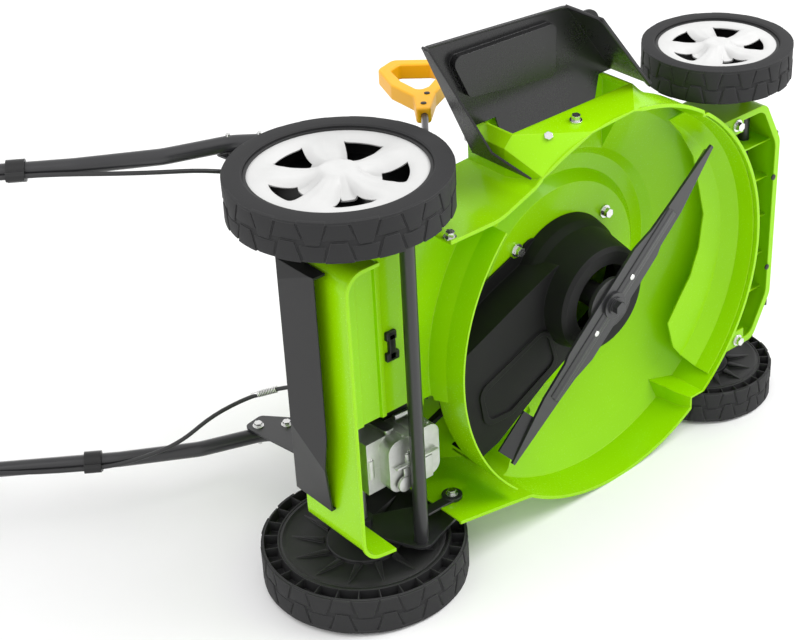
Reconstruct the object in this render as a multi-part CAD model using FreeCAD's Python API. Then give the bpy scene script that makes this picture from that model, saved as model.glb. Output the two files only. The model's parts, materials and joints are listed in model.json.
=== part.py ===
"""Petrol rotary lawn mower with rear wheel drive and a side discharge chute.

Frame: X to the mower's left, Y to the rear, Z up, millimetres. The origin is on
the ground, at the mid-plane, under the crankshaft's line across the mower.
"""
import FreeCAD, Part
import math
import os

Vec = FreeCAD.Vector
AXIS_X = Vec(1, 0, 0)
AXIS_Z = Vec(0, 0, 1)
WHOLE_TURN = 360.0
SIDES = (1, -1)

# ---- Fits ----
running_clearance = 0.06     # radial, a shaft that turns in a hole
part_gap = 0.4               # between pieces that face each other
loose_clearance = 2.0        # radial, a bolt or rod in a plain hole

# ---- Rear wheels and their drive ----
rear_wheel_radius = 139.3
rear_wheel_width = 55.3
rear_wheel_outer_x = 302.6
rear_axle_y = 372.6
rear_axle_z = 139.3
drive_shaft_radius = 6.0

# ---- Front wheels ----
front_wheel_radius = 102.3
front_wheel_width = 49.3
front_wheel_outer_x = 280.0
front_axle_y = -253.9
front_axle_z = 102.3
lowered_front_axle_z = 70.5
stub_axle_radius = 6.0

# ---- Crankshaft, blade and cutting chamber ----
crank_x = 6.5
crank_radius = 11.0
blade_z = 44.0
blade_half_length = 253.0
blade_width = 50.0
blade_thickness = 4.0
blade_angle = 47.5
rim_z = 33.0
sheet = 2.6
rim_bead = 2.2
rim_bead_height = 3.6
chamber_radius = 279.0
wall_top_z = 92.0
shoulder_radius = 254.0
shoulder_z = 112.0
groove_outer_radius = 176.0
groove_inner_radius = 155.0
groove_z = 160.0
plate_radius = 140.0
plate_z = 147.0
rear_wall_radius = 277.6
rear_wall_start = 42.9
rear_wall_end = 133.7
panel_z = 89.0
panel_left_x = 33.0

# ---- Rear housing of the deck ----
housing_rear_y = 452.0
housing_left_x = 197.0
housing_right_x = -224.0
roof_front_y = 140.0
roof_front_z = 149.0
roof_rear_y = 372.0
roof_rear_z = 250.0
rear_slope_z = 150.0
arm_cut_front_y = 292.0
arm_cut_rear_y = 402.0
arm_cut_top_z = 182.0

# ---- Rear discharge tunnel ----
tunnel_right_x = -205.0
tunnel_left_x = 45.0
tunnel_mouth_low_z = 96.0
ramp_z = 172.0
ramp_foot_y = 290.0
ramp_top_y = 335.0

# ---- Side discharge ----
hood_x = -281.0
hood_front_y = -85.0
hood_rear_y = 156.0
lip_z = 85.0
hood_top_z = 153.0
window_margin = 9.0
chute_wall = 3.0
chute_top_z = 136.0
chute_near_x = -284.0
chute_rear_near = (-247.0, 164.0)
chute_rear_mouth = (-412.0, 240.0)
chute_front_near = (-284.0, -80.0)
chute_front_mouth = (-395.0, 2.0)
side_rod_x = -288.5
side_rod_z = 158.0
side_rod_radius = 3.0
side_flap_reach = 88.0

# ---- Cutting height linkage ----
rear_pivot_y = 262.0
rear_pivot_z = 85.0
pivot_bolt_radius = 6.0
height_bar_y = 338.0
height_bar_z = 60.0
height_bar_radius = 9.7
arm_inner_x = 231.0
arm_plate = 4.0
arm_boss_radius = 16.0
front_pivot_y = -303.0
front_pivot_z = 88.0
front_rod_radius = 8.0
front_arm_inner_x = 208.0
front_lug_height = 50.0
link_ratio = 2.5
link_rod_radius = 3.0
link_rear_x = 240.5
link_front_x = 221.5
lever_x = -240.5
lever_grip_x = -275.0
lever_radius = 4.5
lever_foot = (256.0, 107.0)

# ---- Gearbox ----
gearbox_x = 105.0
gearbox_split_x = 112.0
gearbox_left_x = 150.0
gearbox_right_x = 72.0
gearbox_pulley_y = 312.0
gearbox_pulley_radius = 35.0
gearbox_bottom_z = 76.0
gearbox_shoulder_z = 124.0
crank_pulley_radius = 18.0
belt_z = 136.0
belt_width = 9.0
belt_thickness = 6.0

# ---- Front bumper ----
bumper_half_width = 190.0
bumper_flat_half_width = 125.0
bumper_corner_y = -297.0
bumper_front_y = -331.0
bumper_bottom_z = 45.0
bumper_top_z = 128.0
bumper_ribs = (-120.0, -62.0, 0.0, 62.0, 120.0)

# ---- Rear flap ----
flap_rod_y = 380.0
flap_rod_z = 254.0
flap_rod_radius = 4.0
flap_right_x = -216.0
flap_left_x = 136.0
flap_wall = 3.0
flap_crease_y = 480.0
flap_lip_z = 72.0

# ---- Handle ----
handle_tube_radius = 11.0
handle_tube_wall = 1.5
lower_handle_x = 232.0
upper_handle_x = 208.0
bracket_x = 216.6
bracket_plate = 3.0
bracket_bolt_radius = 3.0
bracket_bolt_spots = ((318.0, 379.2), (350.0, 404.5))
fold_y = 760.0
fold_z = 658.5
handle_slope = math.radians(35.6)
upper_leg_length = 450.0
handle_bend_radius = 60.0
bail_radius = 4.0
stop_bail_x = 192.0
drive_bail_x = 181.0
bail_pivot_from_fold = 300.0
drive_bail_setback = 22.0
fold_bolt_radius = 4.0
bail_lift = math.radians(38.0)
cable_radius = 3.0

# ---- Engine ----
engine_base_z = plate_z + sheet
engine_flange_radius = 124.0
engine_bolt_radius = 111.5
case_radius = 92.0
case_top_z = 238.0
shroud_top_z = 330.0
recoil_radius = 84.0
recoil_top_z = 366.0
flywheel_radius = 82.0
tank_neck_x = -112.0
tank_neck_y = 144.0

crank_foot = Vec(crank_x, 0, 0)


# ================= Shapes used everywhere =================

def box(x0, x1, y0, y1, z0, z1):
    """A block between two corners."""
    return Part.makeBox(x1 - x0, y1 - y0, z1 - z0, Vec(x0, y0, z0))


def rod_x(x0, x1, y, z, radius):
    """A round bar across the mower."""
    return Part.makeCylinder(radius, x1 - x0, Vec(x0, y, z), AXIS_X)


def rod_z(x, y, z0, z1, radius):
    """A round upright bar."""
    return Part.makeCylinder(radius, z1 - z0, Vec(x, y, z0), AXIS_Z)


def ring_z(x, y, z0, z1, outer, inner):
    """An upright ring."""
    return rod_z(x, y, z0, z1, outer).cut(rod_z(x, y, z0, z1, inner))


def ring_x(x0, x1, y, z, outer, inner):
    """A ring whose axis runs across the mower."""
    return rod_x(x0, x1, y, z, outer).cut(rod_x(x0, x1, y, z, inner))


def outline(points, radii=0.0):
    """A closed outline of lines, with each corner rounded by an arc."""
    count = len(points)
    if not isinstance(radii, (list, tuple)):
        radii = [radii] * count
    edges = []
    starts = []
    ends = []
    arcs = []
    for i in range(count):
        here = points[i]
        before = (points[i - 1] - here).normalize()
        after = (points[(i + 1) % count] - here).normalize()
        if radii[i] <= 0:
            starts.append(here)
            ends.append(here)
            arcs.append(None)
            continue
        half = before.getAngle(after) / 2
        reach = radii[i] / math.tan(half)
        bisector = (before + after).normalize()
        centre = here + bisector * (radii[i] / math.sin(half))
        starts.append(here + before * reach)
        ends.append(here + after * reach)
        arcs.append(centre - bisector * radii[i])
    for i in range(count):
        if arcs[i] is not None:
            edges.append(Part.Arc(starts[i], arcs[i], ends[i]).toShape())
        edges.append(Part.makeLine(ends[i], starts[(i + 1) % count]))
    return Part.Wire(edges)


def slab_z(points, z0, z1, radii=0.0, grow=0.0):
    """An upright prism on an outline in plan; grow widens or narrows it."""
    face = Part.Face(outline([Vec(x, y, z0) for x, y in points], radii))
    if grow:
        face = face.makeOffset2D(grow)
    return face.extrude(Vec(0, 0, z1 - z0))


def slab_x(points, x0, x1, radii=0.0):
    """A prism across the mower on an outline of (y, z) points."""
    face = Part.Face(outline([Vec(x0, y, z) for y, z in points], radii))
    return face.extrude(Vec(x1 - x0, 0, 0))


def turned_z(profile, centre=crank_foot, start=0.0, sweep=WHOLE_TURN):
    """A turned piece: (radius, z) points spun about an upright line."""
    points = [centre + Vec(r, 0, z) for r, z in profile]
    points.append(points[0])
    face = Part.Face(Part.makePolygon(points))
    face.rotate(centre, AXIS_Z, start)
    return face.revolve(centre, AXIS_Z, sweep)


def turned_x(profile, y, z, side):
    """A turned piece: (radius, x) points spun about a line across the mower."""
    points = [Vec(side * x, y, z + r) for r, x in profile]
    points.append(points[0])
    face = Part.Face(Part.makePolygon(points))
    return face.revolve(Vec(0, y, z), AXIS_X, WHOLE_TURN)


def joined(shapes):
    """One solid from several that touch or overlap."""
    shapes = list(shapes)
    if len(shapes) == 1:
        return shapes[0]
    return shapes[0].multiFuse(shapes[1:]).removeSplitter()


def group(shapes):
    """Several separate solids in one node."""
    return Part.makeCompound(list(shapes))


def bent_path(points, bends):
    """Straight runs joined by tangent arcs, and the length of the path."""
    edges = []
    last = points[0]
    for i in range(1, len(points) - 1):
        corner = points[i]
        before = (points[i - 1] - corner).normalize()
        after = (points[i + 1] - corner).normalize()
        half = before.getAngle(after) / 2
        radius = bends[i - 1] if isinstance(bends, (list, tuple)) else bends
        reach = radius / math.tan(half)
        bisector = (before + after).normalize()
        middle = corner + bisector * (radius / math.sin(half) - radius)
        first = corner + before * reach
        second = corner + after * reach
        edges.append(Part.makeLine(last, first))
        edges.append(Part.Arc(first, middle, second).toShape())
        last = second
    edges.append(Part.makeLine(last, points[-1]))
    wire = Part.Wire(edges)
    return wire, wire.Length


def bent_bar(points, radius, bends):
    """A round bar that follows straight runs and tangent arcs."""
    wire, length = bent_path(points, bends)
    along = (points[1] - points[0]).normalize()
    circle = Part.Wire(Part.makeCircle(radius, points[0], along))
    solid = wire.makePipeShell([circle], True, True)
    expected = math.pi * radius ** 2 * length
    if abs(solid.Volume / expected - 1) > 0.01:
        print("bent bar volume", solid.Volume, "expected", expected)
    return solid


def bent_tube(points, radius, wall, bends):
    """A hollow tube that follows straight runs and tangent arcs."""
    return bent_bar(points, radius, bends).cut(bent_bar(points, radius - wall, bends))


def hexagon_bolt(foot, direction, head_radius, head_height, shank_radius, shank_length):
    """A flanged hexagon bolt whose head stands out along direction."""
    direction = Vec(direction).normalize()
    flange_height = head_height * 0.25
    flange = Part.makeCylinder(head_radius * 1.35, flange_height, foot, direction)
    corners = []
    turn = FreeCAD.Rotation(AXIS_Z, direction)
    for i in range(6):
        angle = math.radians(60 * i)
        corner = Vec(head_radius * math.cos(angle), head_radius * math.sin(angle), 0)
        corners.append(foot + direction * flange_height + turn.multVec(corner))
    corners.append(corners[0])
    head = Part.Face(Part.makePolygon(corners)).extrude(direction * (head_height - flange_height))
    if shank_length <= 0:
        return joined([flange, head])
    shank = Part.makeCylinder(shank_radius, shank_length, foot - direction * shank_length, direction)
    return joined([flange, head, shank])


# ================= Deck =================

def roof_height(y):
    """Height of the rear housing's roof at a distance to the rear."""
    share = (y - roof_front_y) / (roof_rear_y - roof_front_y)
    share = min(max(share, 0.0), 1.0)
    return roof_front_z + share * (roof_rear_z - roof_front_z)


def chamber_form(shrink):
    """The cutting chamber's round form, or its hollow when shrink is 0."""
    grow = sheet - shrink
    low = rim_z
    profile = [
        (0, low),
        (chamber_radius + grow, low),
        (chamber_radius + grow, wall_top_z + grow * 0.5),
        (shoulder_radius + grow * 0.5, shoulder_z + grow),
        (groove_outer_radius + 12 + grow * 0.4, plate_z + 3 + grow),
        (groove_outer_radius + grow * 0.4, groove_z + grow),
        (groove_inner_radius - grow * 0.4, groove_z + grow),
        (plate_radius - grow * 0.4, plate_z + grow),
        (0, plate_z + grow),
    ]
    return turned_z(profile)


def housing_points():
    """Plan of the rear housing, walls outside, from the right side round."""
    return [
        (-243, 118), (-208, 212), (-208, 300), (housing_right_x, 392),
        (housing_right_x, housing_rear_y), (housing_left_x - 8, housing_rear_y),
        (housing_left_x, 400), (214, 285), (226, 215), (238, 150), (200, 60), (-200, 60),
    ]


housing_radii = [10, 70, 60, 30, 26, 30, 60, 60, 60, 30, 5, 5]


def housing_form(inset, low):
    """The rear housing's form, moved inwards by a wall."""
    plan = slab_z(housing_points(), low, roof_rear_z + 60, housing_radii, -inset)
    side = slab_x([
        (0, low - 1), (housing_rear_y + 40, low - 1),
        (housing_rear_y + 40 - 0.78 * inset, rear_slope_z - 50 - 0.62 * inset),
        (roof_rear_y - 0.48 * inset, roof_rear_z - inset),
        (roof_front_y, roof_front_z - inset), (0, roof_front_z - inset),
    ], -400, 400)
    return plan.common(side)


def hood_form(inset, low):
    """The side discharge hood: sloping skirt below the lip, upright above."""
    lower = [
        (-150, -92 + inset), (-258 + inset, -92 + inset), (-277.8 + inset, -20),
        (-273 + inset, 55), (-240 + inset, 140), (-150, 150 - inset),
    ]
    upper = [
        (-150, hood_front_y + inset), (hood_x + 14 + inset, hood_front_y + inset),
        (hood_x + inset, hood_front_y + 14), (hood_x + inset, hood_rear_y - 14),
        (hood_x + 14 + inset, hood_rear_y - inset), (-150, hood_rear_y - inset),
    ]
    top = hood_top_z - inset
    levels = []
    for points, z in ((lower, low), (upper, lip_z)):
        corners = [Vec(x, y, z) for x, y in points]
        corners.append(corners[0])
        levels.append(Part.makePolygon(corners))
    skirt = Part.makeLoft(levels, True, True)
    return joined([skirt, slab_z(upper, lip_z, top)])


def wheel_recess(grow):
    """Room for both front wheels beside the chamber, at rest and lowered."""
    inner = front_wheel_outer_x - front_wheel_width - 8 + grow
    rooms = []
    for side in SIDES:
        low, high = sorted((side * inner, side * 330))
        rooms.append(rod_x(low, high, front_axle_y, front_axle_z, front_wheel_radius + 9 - grow))
        rooms.append(rod_x(low, high, front_axle_y, lowered_front_axle_z, front_wheel_radius + 6 - grow))
    return joined(rooms)


def deck_shell():
    """The pressed deck: chamber, rear housing and side discharge hood."""
    bead = turned_z([
        (chamber_radius, rim_z), (chamber_radius + sheet + rim_bead, rim_z),
        (chamber_radius + sheet + rim_bead, rim_z + rim_bead_height),
        (chamber_radius, rim_z + rim_bead_height),
    ])
    rear_bead = slab_z(housing_points(), rim_z, rim_z + rim_bead_height, housing_radii, rim_bead)
    outside = joined([
        chamber_form(0), housing_form(0, rim_z), hood_form(0, rim_z), bead, rear_bead,
    ]).cut(wheel_recess(sheet))
    hollow_low = rim_z - 2
    hollow = joined([
        chamber_form(sheet), housing_form(sheet, hollow_low), hood_form(sheet, rim_z),
        rod_z(crank_x, 0, hollow_low, rim_z + 1, chamber_radius),
    ]).cut(wheel_recess(0))
    deck = outside.cut(hollow)
    window = box(
        hood_x - 5, hood_x + 8, hood_front_y + window_margin + 8, hood_rear_y - window_margin - 8,
        lip_z + 3, hood_top_z - 10,
    )
    mouth = slab_x([
        (housing_rear_y - 6, tunnel_mouth_low_z), (housing_rear_y + 28, tunnel_mouth_low_z),
        (housing_rear_y + 28, rear_slope_z + 10), (roof_rear_y + 26, roof_rear_z - 4),
        (roof_rear_y + 9, roof_rear_z - 17.5), (housing_rear_y - 6, rear_slope_z + 1),
    ], tunnel_right_x, tunnel_left_x)
    arm_gap = slab_x([
        (arm_cut_front_y, rim_z - 10), (arm_cut_rear_y, rim_z - 10),
        (arm_cut_rear_y, arm_cut_top_z), (arm_cut_front_y, arm_cut_top_z),
    ], -300, 300, [0, 0, 25, 25])
    arm_gap = arm_gap.cut(box(-150, 150, 0, 500, 0, 300))
    deck = deck.cut(window).cut(mouth).cut(arm_gap)
    deck = deck.cut(rod_z(crank_x, 0, plate_z - 5, plate_z + 10, 34))
    for angle in engine_bolt_angles:
        spot = engine_bolt_spot(angle)
        deck = deck.cut(rod_z(spot.x, spot.y, plate_z - 5, plate_z + 10, 4.6))
    for side in SIDES:
        low, high = sorted((side * 190, side * 260))
        deck = deck.cut(rod_x(low, high, rear_pivot_y, rear_pivot_z, pivot_bolt_radius + part_gap))
    deck = deck.cut(box(100, 130, 292, 312, roof_height(300) - 20, roof_height(300) + 20))
    for bolt in skirt_bolts():
        deck = deck.cut(bolt)
    return deck


engine_bolt_angles = (133.0, 230.0, 350.0)


def engine_bolt_spot(angle):
    """Where an engine bolt stands in plan."""
    turn = math.radians(angle)
    return Vec(
        crank_x + engine_bolt_radius * math.cos(turn),
        engine_bolt_radius * math.sin(turn), 0,
    )


front_bolt_spots = ((-178.0, -236.0), (178.0, -262.0))


def front_bumper():
    """Nose piece between the front wheels, open below, with upright ribs."""
    def plan(inset):
        half = bumper_half_width - inset
        flat = bumper_flat_half_width - inset * 0.4
        front = bumper_front_y + inset
        return [
            (-half, -150), (-half, bumper_corner_y + inset * 0.6), (-flat, front),
            (flat, front), (half, bumper_corner_y + inset * 0.6), (half, -150),
        ]
    radii = [0, 18, 30, 30, 18, 0]
    outside = slab_z(plan(0), bumper_bottom_z, bumper_top_z, radii)
    hollow = slab_z(plan(sheet), bumper_bottom_z - 1, bumper_top_z - sheet, radii)
    ribs = []
    for x in bumper_ribs:
        ribs.append(box(x - 1.3, x + 1.3, bumper_front_y + 1, -150, bumper_bottom_z + 16, bumper_top_z - 1))
    lip = slab_z(plan(0), bumper_bottom_z, bumper_bottom_z + sheet, radii).cut(
        slab_z(plan(9), bumper_bottom_z - 1, bumper_bottom_z + sheet + 1, radii))
    nose = outside.cut(hollow)
    tabs = []
    for x, y in front_bolt_spots:
        low, high = sorted((math.copysign(bumper_half_width, x), x * 0.92))
        tabs.append(box(low, high, y - 14, y + 14, bumper_bottom_z, bumper_bottom_z + sheet))
    nose = joined([nose, lip] + [rib.common(outside) for rib in ribs + tabs])
    clear = chamber_radius + sheet + rim_bead + part_gap
    keep_out = turned_z([
        (0, 0), (clear, 0), (clear, wall_top_z + 2), (shoulder_radius + 4, shoulder_z + 5),
        (240, bumper_top_z + 5), (0, bumper_top_z + 5),
    ])
    nose = nose.cut(keep_out)
    nose = nose.cut(wheel_recess(0))
    clear_rod = front_rod_radius + loose_clearance
    return nose.cut(rod_x(-260, 260, front_pivot_y, front_pivot_z, clear_rod))


def front_baffle():
    """Curved plate inside the front of the chamber, with a free inner edge."""
    face = [(276.8, 39), (272, 62), (254, 80), (180, 96)]
    back = [(180, 98.4), (255, 82.4), (274, 63.5), (278.6, 39)]
    sheet_ring = turned_z(face + back, crank_foot, 213.0, 103.0)
    edge = [
        (-300, -127), (-212, -134), (-179, -164), (-133, -194), (-73, -213), (-31, -224),
        (23, -219), (65, -205), (97, -184), (128, -163), (168, -169), (205, -195),
        (300, -205), (300, -320), (-300, -320),
    ]
    return sheet_ring.common(slab_z(edge, 30, 110)).cut(wheel_recess(0))


def chamber_rear_wall():
    """Rear wall of the chamber and the pressed panel behind it, one sheet."""
    lip = turned_z([
        (rear_wall_radius, rim_z), (rear_wall_radius + sheet, rim_z),
        (rear_wall_radius + sheet, 66), (rear_wall_radius + 12, panel_z),
        (rear_wall_radius + 30, panel_z), (rear_wall_radius + 30, panel_z + sheet),
        (rear_wall_radius + 10, panel_z + sheet), (rear_wall_radius, 68),
    ], crank_foot, 82.0, rear_wall_end - 82.0)
    high_wall = turned_z([
        (rear_wall_radius, rim_z), (rear_wall_radius + sheet, rim_z),
        (rear_wall_radius + sheet, 142), (rear_wall_radius, 142),
    ], crank_foot, rear_wall_start, 84.5 - rear_wall_start)
    inside = housing_form(sheet + part_gap, rim_z)
    panel = slab_z([
        (-260, 200), (panel_left_x, 200), (panel_left_x, 500), (-260, 500),
    ], panel_z, panel_z + sheet).common(inside)
    panel = panel.cut(rod_z(crank_x, 0, 0, 200, rear_wall_radius + 20))
    bead = slab_x([(361, panel_z + 1), (373, panel_z + 1), (370, panel_z - 4), (364, panel_z - 4)],
                  -190, panel_left_x)
    back_step = box(-190, panel_left_x, 400, housing_rear_y - sheet - part_gap, panel_z - 3, panel_z + 1)
    wall = joined([lip.common(inside), high_wall, panel, bead, back_step.common(inside)])
    belt_gap = box(40, 190, 200, 300, 86, 200)
    gap = arm_gap_in_panel()
    return wall.cut(belt_gap).cut(gap)


def arm_gap_in_panel():
    """Room at the panel's right edge for the swinging arm's parts."""
    return box(-300, -208, arm_cut_front_y, arm_cut_rear_y, rim_z, arm_cut_top_z)


def discharge_ramp():
    """Moulded tunnel floor above the drive shaft, with its left wall."""
    floor = slab_x([
        (ramp_foot_y, panel_z + sheet + part_gap), (ramp_foot_y + 3, panel_z + sheet + part_gap),
        (ramp_top_y, ramp_z - 3), (housing_rear_y - sheet - part_gap, ramp_z - 3),
        (housing_rear_y - sheet - part_gap, ramp_z), (ramp_top_y - 2, ramp_z),
    ], tunnel_right_x + 3, tunnel_left_x)
    side = slab_x([
        (ramp_foot_y, ramp_z - 70), (ramp_top_y, ramp_z - 3),
        (housing_rear_y - sheet - part_gap, ramp_z - 3),
        (housing_rear_y - sheet - part_gap, roof_rear_z + 40), (ramp_foot_y, roof_rear_z + 40),
    ], tunnel_left_x - 3, tunnel_left_x)
    inside = housing_form(sheet + part_gap, rim_z)
    return joined([floor.common(inside), side.common(inside)])


def tail_points(grow):
    """Plan of the belt cover's tail, towards the gearbox."""
    return [
        (-58 - grow, 52), (-30 - grow, 122), (28 - grow, 255), (60, 290), (175, 290),
        (196 + grow, 232), (176 + grow, 168), (118 + grow, 78), (88 + grow, 20), (0, -20),
    ]


def belt_cover():
    """Moulded cover over the belt: a drum round the boss, and a tail."""
    base_z = plate_z - 1.0
    drum = turned_z([(0, 62), (70, 62), (76, 66), (86, 116), (92, 128), (96, base_z), (0, base_z)])
    drum_hollow = turned_z([(0, 64.5), (67, 64.5), (73.5, 68), (83.5, 117), (89.5, 129), (93, base_z + 1), (0, base_z + 1)])
    tail = slab_z(tail_points(0), 94, base_z, 16)
    tail_hollow = slab_z(tail_points(0), 96.5, base_z + 1, 16, -2.5)
    flange = slab_z(tail_points(22), base_z - 2.5, base_z, 16)
    body = joined([drum, tail, flange])
    body = body.cut(drum_hollow).cut(tail_hollow)
    well = turned_z([(52, 60), (62, 60), (58, 88), (55.5, 88), (50, 62)])
    floor_hole = rod_z(crank_x, 0, 55, 90, 52)
    body = joined([body.cut(floor_hole), turned_z([(52, 62), (58, 62), (54, 90), (51.5, 90)])])
    loop_outer = slab_z(emboss_points(7), 91.5, 95, 20)
    loop_inner = slab_z(emboss_points(-1), 91, 96, 14)
    body = joined([body, loop_outer.cut(loop_inner)])
    fence = rod_z(crank_x, 0, 0, 300, rear_wall_radius - 3.0)
    body = body.common(fence)
    for angle in engine_bolt_angles:
        spot = engine_bolt_spot(angle)
        body = body.cut(rod_z(spot.x, spot.y, 125, plate_z, 12))
    return body


def emboss_points(grow):
    """Plan of the long raised loop on the cover's tail."""
    return [
        (34 - grow, 78 - grow * 0.5), (84 - grow, 196 + grow), (132 + grow, 186 + grow),
        (134 + grow, 146), (92 + grow, 62 - grow),
    ]


def skirt_bolts():
    """Bolts on the discharge skirt and on the right corner of the housing."""
    places = (
        (Vec(-269.6, 103, 62), Vec(-0.83, 0.32, -0.42)),
        (Vec(-278.2, 55, 62), Vec(-0.97, 0.05, -0.12)),
        (Vec(-208.2, 284, 44), Vec(-1, 0, -0.1)),
    )
    return [hexagon_bolt(foot, out, 6, 9, 3, 4) for foot, out in places]


def deck_bolts():
    """Bright flanged bolts: engine, skirt, bumper, rear arms, handle brackets."""
    bolts = skirt_bolts()
    for angle in engine_bolt_angles:
        spot = engine_bolt_spot(angle) + Vec(0, 0, plate_z - part_gap)
        bolts.append(hexagon_bolt(spot, Vec(0, 0, -1), 7, 11, 4, 22))
    for x, y in front_bolt_spots:
        bolts.append(hexagon_bolt(Vec(x, y, bumper_bottom_z), Vec(0, 0, -1), 6.5, 9, 4, 0))
    for side in SIDES:
        foot = Vec(side * (arm_inner_x + arm_plate + part_gap), rear_pivot_y, rear_pivot_z)
        shank = arm_plate + 2 * part_gap + 24
        bolts.append(hexagon_bolt(foot, Vec(side, 0, 0), 7, 7, pivot_bolt_radius - running_clearance, shank))
        for y, z in bracket_bolt_spots:
            foot = Vec(side * bracket_x, y, z)
            tube_side = 2 * (lower_handle_x - bracket_x) - bracket_plate + 2
            bolts.append(hexagon_bolt(foot, Vec(-side, 0, 0), 6, 6, bracket_bolt_radius, tube_side))
    return group(bolts)


# ================= Crankshaft and blade =================

def crankshaft():
    """Upright crankshaft with its flywheel end and the boss below the deck."""
    return rod_z(crank_x, 0, blade_z + blade_thickness + 12, case_top_z + 60, crank_radius)


def pulley_boss():
    """Boss on the crankshaft: drive pulley above, blade seat below."""
    top = plate_z - 6
    low = blade_z + blade_thickness
    groove = crank_pulley_radius
    profile = [
        (crank_radius, low + 12), (0.0, low + 12), (0.0, low), (38, low), (38, low + 6), (19, low + 10),
        (17, low + 14), (17, belt_z - 9), (groove + 7, belt_z - 9), (groove + 7, belt_z - 7),
        (groove, belt_z - 4.6), (groove, belt_z + 4.6),
        (groove + 7, belt_z + 7), (groove + 7, belt_z + 9), (crank_radius, belt_z + 9),
    ]
    boss = turned_z(profile)
    boss = boss.common(rod_z(crank_x, 0, 0, top + 10, 60))
    ears = slab_z([(-30, -14), (30, -14), (30, 14), (-30, 14)], low, low + 6, 4)
    ears.translate(Vec(crank_x, 0, 0))
    ears.rotate(crank_foot, AXIS_Z, blade_angle)
    seat = rod_z(crank_x, 0, low - 1, low + 12, 6.05)
    return joined([boss, ears]).cut(seat)


def blade():
    """Cutting blade: a flat bar with tapered ends and a lifted sail at each."""
    half = blade_half_length
    wide = blade_width / 2
    shares = [
        (0.28, 1.0), (0.36, 0.98), (0.41, 0.80), (0.62, 0.76), (1.0, 0.12),
        (1.0, -0.12), (0.59, -0.45), (0.44, -0.60), (0.30, -1.0),
    ]
    points = [(half * along, wide * across) for along, across in shares]
    points = points + [(-x, -y) for x, y in points]
    parts = [slab_z(points, blade_z, blade_z + blade_thickness)]
    for turn in (0, 180):
        sail = slab_x([(0, 0), (0, blade_thickness), (16, 18 + blade_thickness), (18, 18)], 0, 64)
        sail.translate(Vec(half - 68, 1, blade_z))
        sail.rotate(Vec(0, 0, 0), AXIS_Z, turn)
        parts.append(sail)
    piece = joined(parts)
    piece = piece.cut(rod_z(0, 0, blade_z - 1, blade_z + 10, 6.2))
    piece.translate(Vec(crank_x, 0, 0))
    piece.rotate(crank_foot, AXIS_Z, blade_angle)
    return piece


def blade_bolt():
    """Blade bolt with its thick washer."""
    washer = ring_z(crank_x, 0, blade_z - 4, blade_z, 19, 6.2)
    bolt = hexagon_bolt(Vec(crank_x, 0, blade_z - 4), Vec(0, 0, -1), 9.5, 11, 6, 15)
    return group([washer, bolt])


def flywheel():
    """Finned flywheel on the crankshaft's top end."""
    low = case_top_z + 14
    wheel = turned_z([
        (crank_radius, low), (flywheel_radius, low), (flywheel_radius, low + 16),
        (60, low + 16), (60, low + 8), (24, low + 8), (24, low + 30), (crank_radius, low + 30),
    ])
    fins = []
    for i in range(14):
        fin = box(crank_x + 62, crank_x + flywheel_radius - 2, -1.5, 1.5, low + 15, low + 34)
        fin.rotate(crank_foot, AXIS_Z, i * WHOLE_TURN / 14)
        fins.append(fin)
    return joined([wheel] + fins)


# ================= Engine =================

def crankcase():
    """Crankcase with its mounting flange and three bolt ears."""
    flange = rod_z(crank_x, 0, engine_base_z, engine_base_z + 9, engine_flange_radius)
    body = rod_z(crank_x, 0, engine_base_z, case_top_z, case_radius)
    front = box(crank_x - 52, crank_x + 52, -112, 0, engine_base_z + 16, case_top_z - 6)
    case = joined([flange, body, front])
    for angle in engine_bolt_angles:
        spot = engine_bolt_spot(angle)
        case = case.cut(rod_z(spot.x, spot.y, engine_base_z - 1, engine_base_z + 30, 4.6))
    neck = rod_z(crank_x + 96, -50, engine_base_z + 9, engine_base_z + 46, 12)
    case = joined([case, neck])
    return case.cut(rod_z(crank_x, 0, engine_base_z - 5, case_top_z + 5, crank_radius + 2))


def cylinder():
    """Air-cooled cylinder and head, lying forwards, with cooling fins."""
    z = (engine_base_z + case_top_z) / 2 + 4
    core = Part.makeCylinder(34, 86, Vec(crank_x, -112 - part_gap, z), Vec(0, -1, 0))
    fins = []
    for i in range(9):
        y = -120 - i * 8.5
        fins.append(box(crank_x - 50, crank_x + 50, y - 2.2, y, z - 32, z + 34))
    head = box(crank_x - 40, crank_x + 40, -206, -196, z - 26, z + 28)
    plug = Part.makeCylinder(8, 26, Vec(crank_x, -206, z), Vec(0, -1, 0))
    return joined([core, head, plug] + fins)


def shroud_plan(inset):
    """Plan of the blower housing."""
    return [
        (-104 + inset, -176 + inset), (116 - inset, -176 + inset), (122 - inset, 60),
        (70, 112 - inset), (-60, 112 - inset), (-110 + inset, 60),
    ]


def engine_shroud():
    """Blower housing over the flywheel, open below, round hole on top."""
    radii = [46, 46, 50, 40, 40, 50]
    low = case_top_z + 3
    outside = slab_z(shroud_plan(0), low, shroud_top_z, radii)
    edges = [e for e in outside.Edges if e.BoundBox.ZMin > shroud_top_z - 0.1]
    outside = outside.makeFillet(18, edges)
    hollow = slab_z(shroud_plan(2.6), low - 1, shroud_top_z - 20, radii)
    shell = outside.cut(hollow)
    return shell.cut(rod_z(crank_x, 0, low, shroud_top_z + 5, 74))


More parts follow.
